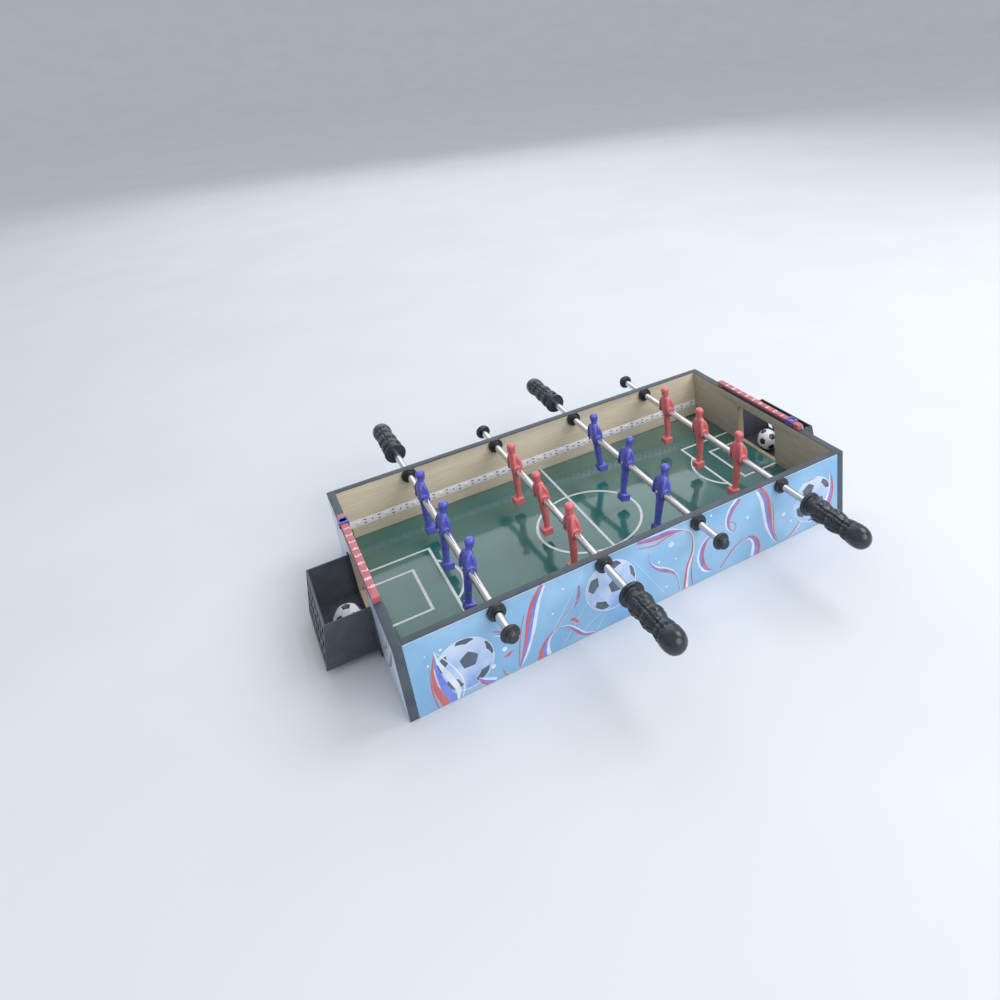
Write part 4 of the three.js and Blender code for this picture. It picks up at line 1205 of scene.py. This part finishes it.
def strip_block(low, high, finish, bevel):
    """Adds a block of one finish to the strip."""
    known = set(strip.faces)
    add_box(strip, low, high, bevel)
    for face in strip.faces:
        if face not in known:
            face.material_index = finish


def strip_part(x, z, half_x, half_z, front, back, finish, bevel):
    """Adds a part of the strip centred on x and z."""
    strip_block((x - half_x, front, z - half_z), (x + half_x, back, z + half_z), finish, bevel)


sunk = STRIP_FRONT + INTO_STRIP
strip_block((-STRIP_HALF, STRIP_FRONT, STRIP_BOTTOM), (STRIP_HALF, INNER_Y - STRIP_GAP, STRIP_TOP),
            STRIP_WHITE, 0.1)
for i in range(LED_COUNT):
    x = (i - (LED_COUNT - 1) / 2) * LED_PITCH
    chip_front = STRIP_FRONT - CHIP_DEEP
    strip_part(x, STRIP_MIDDLE, CHIP_HALF, CHIP_HALF, chip_front, sunk, STRIP_WHITE, 0.15)
    strip_part(x, STRIP_MIDDLE, GLOW_HALF, GLOW_HALF, chip_front - GLOW_RISE, chip_front + INTO_STRIP,
               STRIP_YELLOW, 0.1)
    for spot in PAD_SPOTS:
        at = x + spot * LED_PITCH
        if at < STRIP_HALF - END_GAP:
            for z in (STRIP_MIDDLE - PAD_UP, STRIP_MIDDLE + PAD_UP):
                strip_part(at, z, *PAD_HALF, STRIP_FRONT - PAD_RISE, sunk, STRIP_COPPER, 0.05)
    at = x + LED_PITCH / 2
    if at < STRIP_HALF - END_GAP:
        strip_part(at, STRIP_MIDDLE, *RESISTOR_HALF, STRIP_FRONT - RESISTOR_RISE, sunk, STRIP_BLACK, 0.08)
finished("light_strip", mesh_of("light_strip", strip), STRIP_FINISHES, "cabinet", ("led_strip",))


# ---------------- battery box
def body_of(node):
    """The moving body that a CAD node belongs to."""
    return frame["nodes"][node]["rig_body"]


softened("power_box", "battery_box", body_of("battery_box"), [BOX_PLASTIC], 0.25)
softened("power_door", "battery_door", body_of("battery_door"), [BOX_PLASTIC], 0.12)
softened("power_switch", "switch_slider", body_of("switch_slider"), [SWITCH_PLASTIC], 0.25)
CELL_PROFILE = [
    (0, 0), (3.6, 0), (3.7, 0.25), (4.95, 0.25), (4.95, 43.4), (1.9, 43.4), (1.9, 44.4), (0, 44.4),
]
cell_mesh = mesh_of("cell", turned(eased(CELL_PROFILE, 0.35), 40))
for number in (1, 2, 3):
    low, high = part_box(f"battery_{number}")
    centre = (low + high) / 2
    end_x, turn = (high.x, math.pi / 2) if number == 2 else (low.x, -math.pi / 2)
    place = Matrix.Translation((end_x, centre.y, centre.z)) @ Matrix.Rotation(turn, 4, "Z")
    finished(f"cell_{number}", cell_mesh, [CELL_WRAP], body_of(f"battery_{number}"),
             (f"battery_{number}",), place)
frame["nodes"]["led_lead"].material_slots[0].material = LEAD_SLEEVE


# ---------------- studio
def floor_look():
    """Pale matt floor with slow, faint changes of tone."""
    look = Look("studio_floor")
    tone = look.noise(240.0, detail=2.0)
    look.colour(look.ramp(tone, [(0.3, (216, 220, 226)), (0.7, (220, 224, 230))]))
    look.gloss(40.0, 0.6, 0.75)
    return look.material


FLOOR_DROP = 0.0003
FLOOR_RADII = (8.0, 9.0, 10.0, 11.0, 12.0, 13.0)
FLOOR_RISE = 3.5
FLOOR_SIDES = 96


def floor_shape():
    """A round floor that curves up at its edge, so that no horizon shows."""
    near, far = FLOOR_RADII[0], FLOOR_RADII[-1]
    points = []
    for radius in FLOOR_RADII:
        z = FLOOR_RISE * ((radius - near) / (far - near)) ** 2 - FLOOR_DROP
        points += flat_ring(0, 0, z, radius, FLOOR_SIDES)
    faces = [tuple(range(FLOOR_SIDES))]
    for low in range(0, (len(FLOOR_RADII) - 1) * FLOOR_SIDES, FLOOR_SIDES):
        high = low + FLOOR_SIDES
        for i in range(FLOOR_SIDES):
            following = (i + 1) % FLOOR_SIDES
            faces.append((low + i, high + i, high + following, low + following))
    return points, faces


floor_mesh = bpy.data.meshes.new("floor")
floor_points, floor_faces = floor_shape()
floor_mesh.from_pydata(floor_points, [], floor_faces)
for face in floor_mesh.polygons:
    face.use_smooth = True
floor_mesh.materials.append(floor_look())
put("floor", floor_mesh)


def softbox(name, at, size, power):
    """A square light aimed at the middle of the table."""
    light = bpy.data.lights.new(name, "AREA")
    light.shape = "SQUARE"
    light.size = size
    light.energy = power
    lamp = put(name, light)
    lamp.location = at
    lamp.rotation_euler = (-Vector(at)).to_track_quat("-Z", "Y").to_euler()


softbox("key", (1.5, -0.2, 1.86), 1.3, 22.0)
softbox("back_panel", (0.65, 2.3, 1.75), 2.8, 22.0)
softbox("front_fill", (0.7, -2.3, 1.5), 2.0, 40.0)

world = bpy.data.worlds.new("studio")
world.use_nodes = True
background = world.node_tree.nodes["Background"]
background.inputs["Color"].default_value = (0.93, 0.96, 1.0, 1.0)
background.inputs["Strength"].default_value = 0.6
bpy.context.scene.world = world
bpy.context.scene.view_settings.view_transform = "Standard"

# ---------------- camera
CAMERA_AT = (-0.30281, -0.73002, 0.55285)
HEADING = math.radians(29.504)
DOWNWARD = math.radians(21.291)
ROLL = math.radians(5.14)
camera = bpy.data.cameras.new("camera")
camera.lens = 28.498
camera.sensor_width = 36.0
camera.shift_x = -0.155
camera.shift_y = -0.170
viewer = put("camera", camera)
viewer.matrix_world = (
    Matrix.Translation(CAMERA_AT) @ Matrix.Rotation(-HEADING, 4, "Z")
    @ Matrix.Rotation(math.pi / 2 - DOWNWARD, 4, "X") @ Matrix.Rotation(-ROLL, 4, "Z")
)
bpy.context.scene.camera = viewer
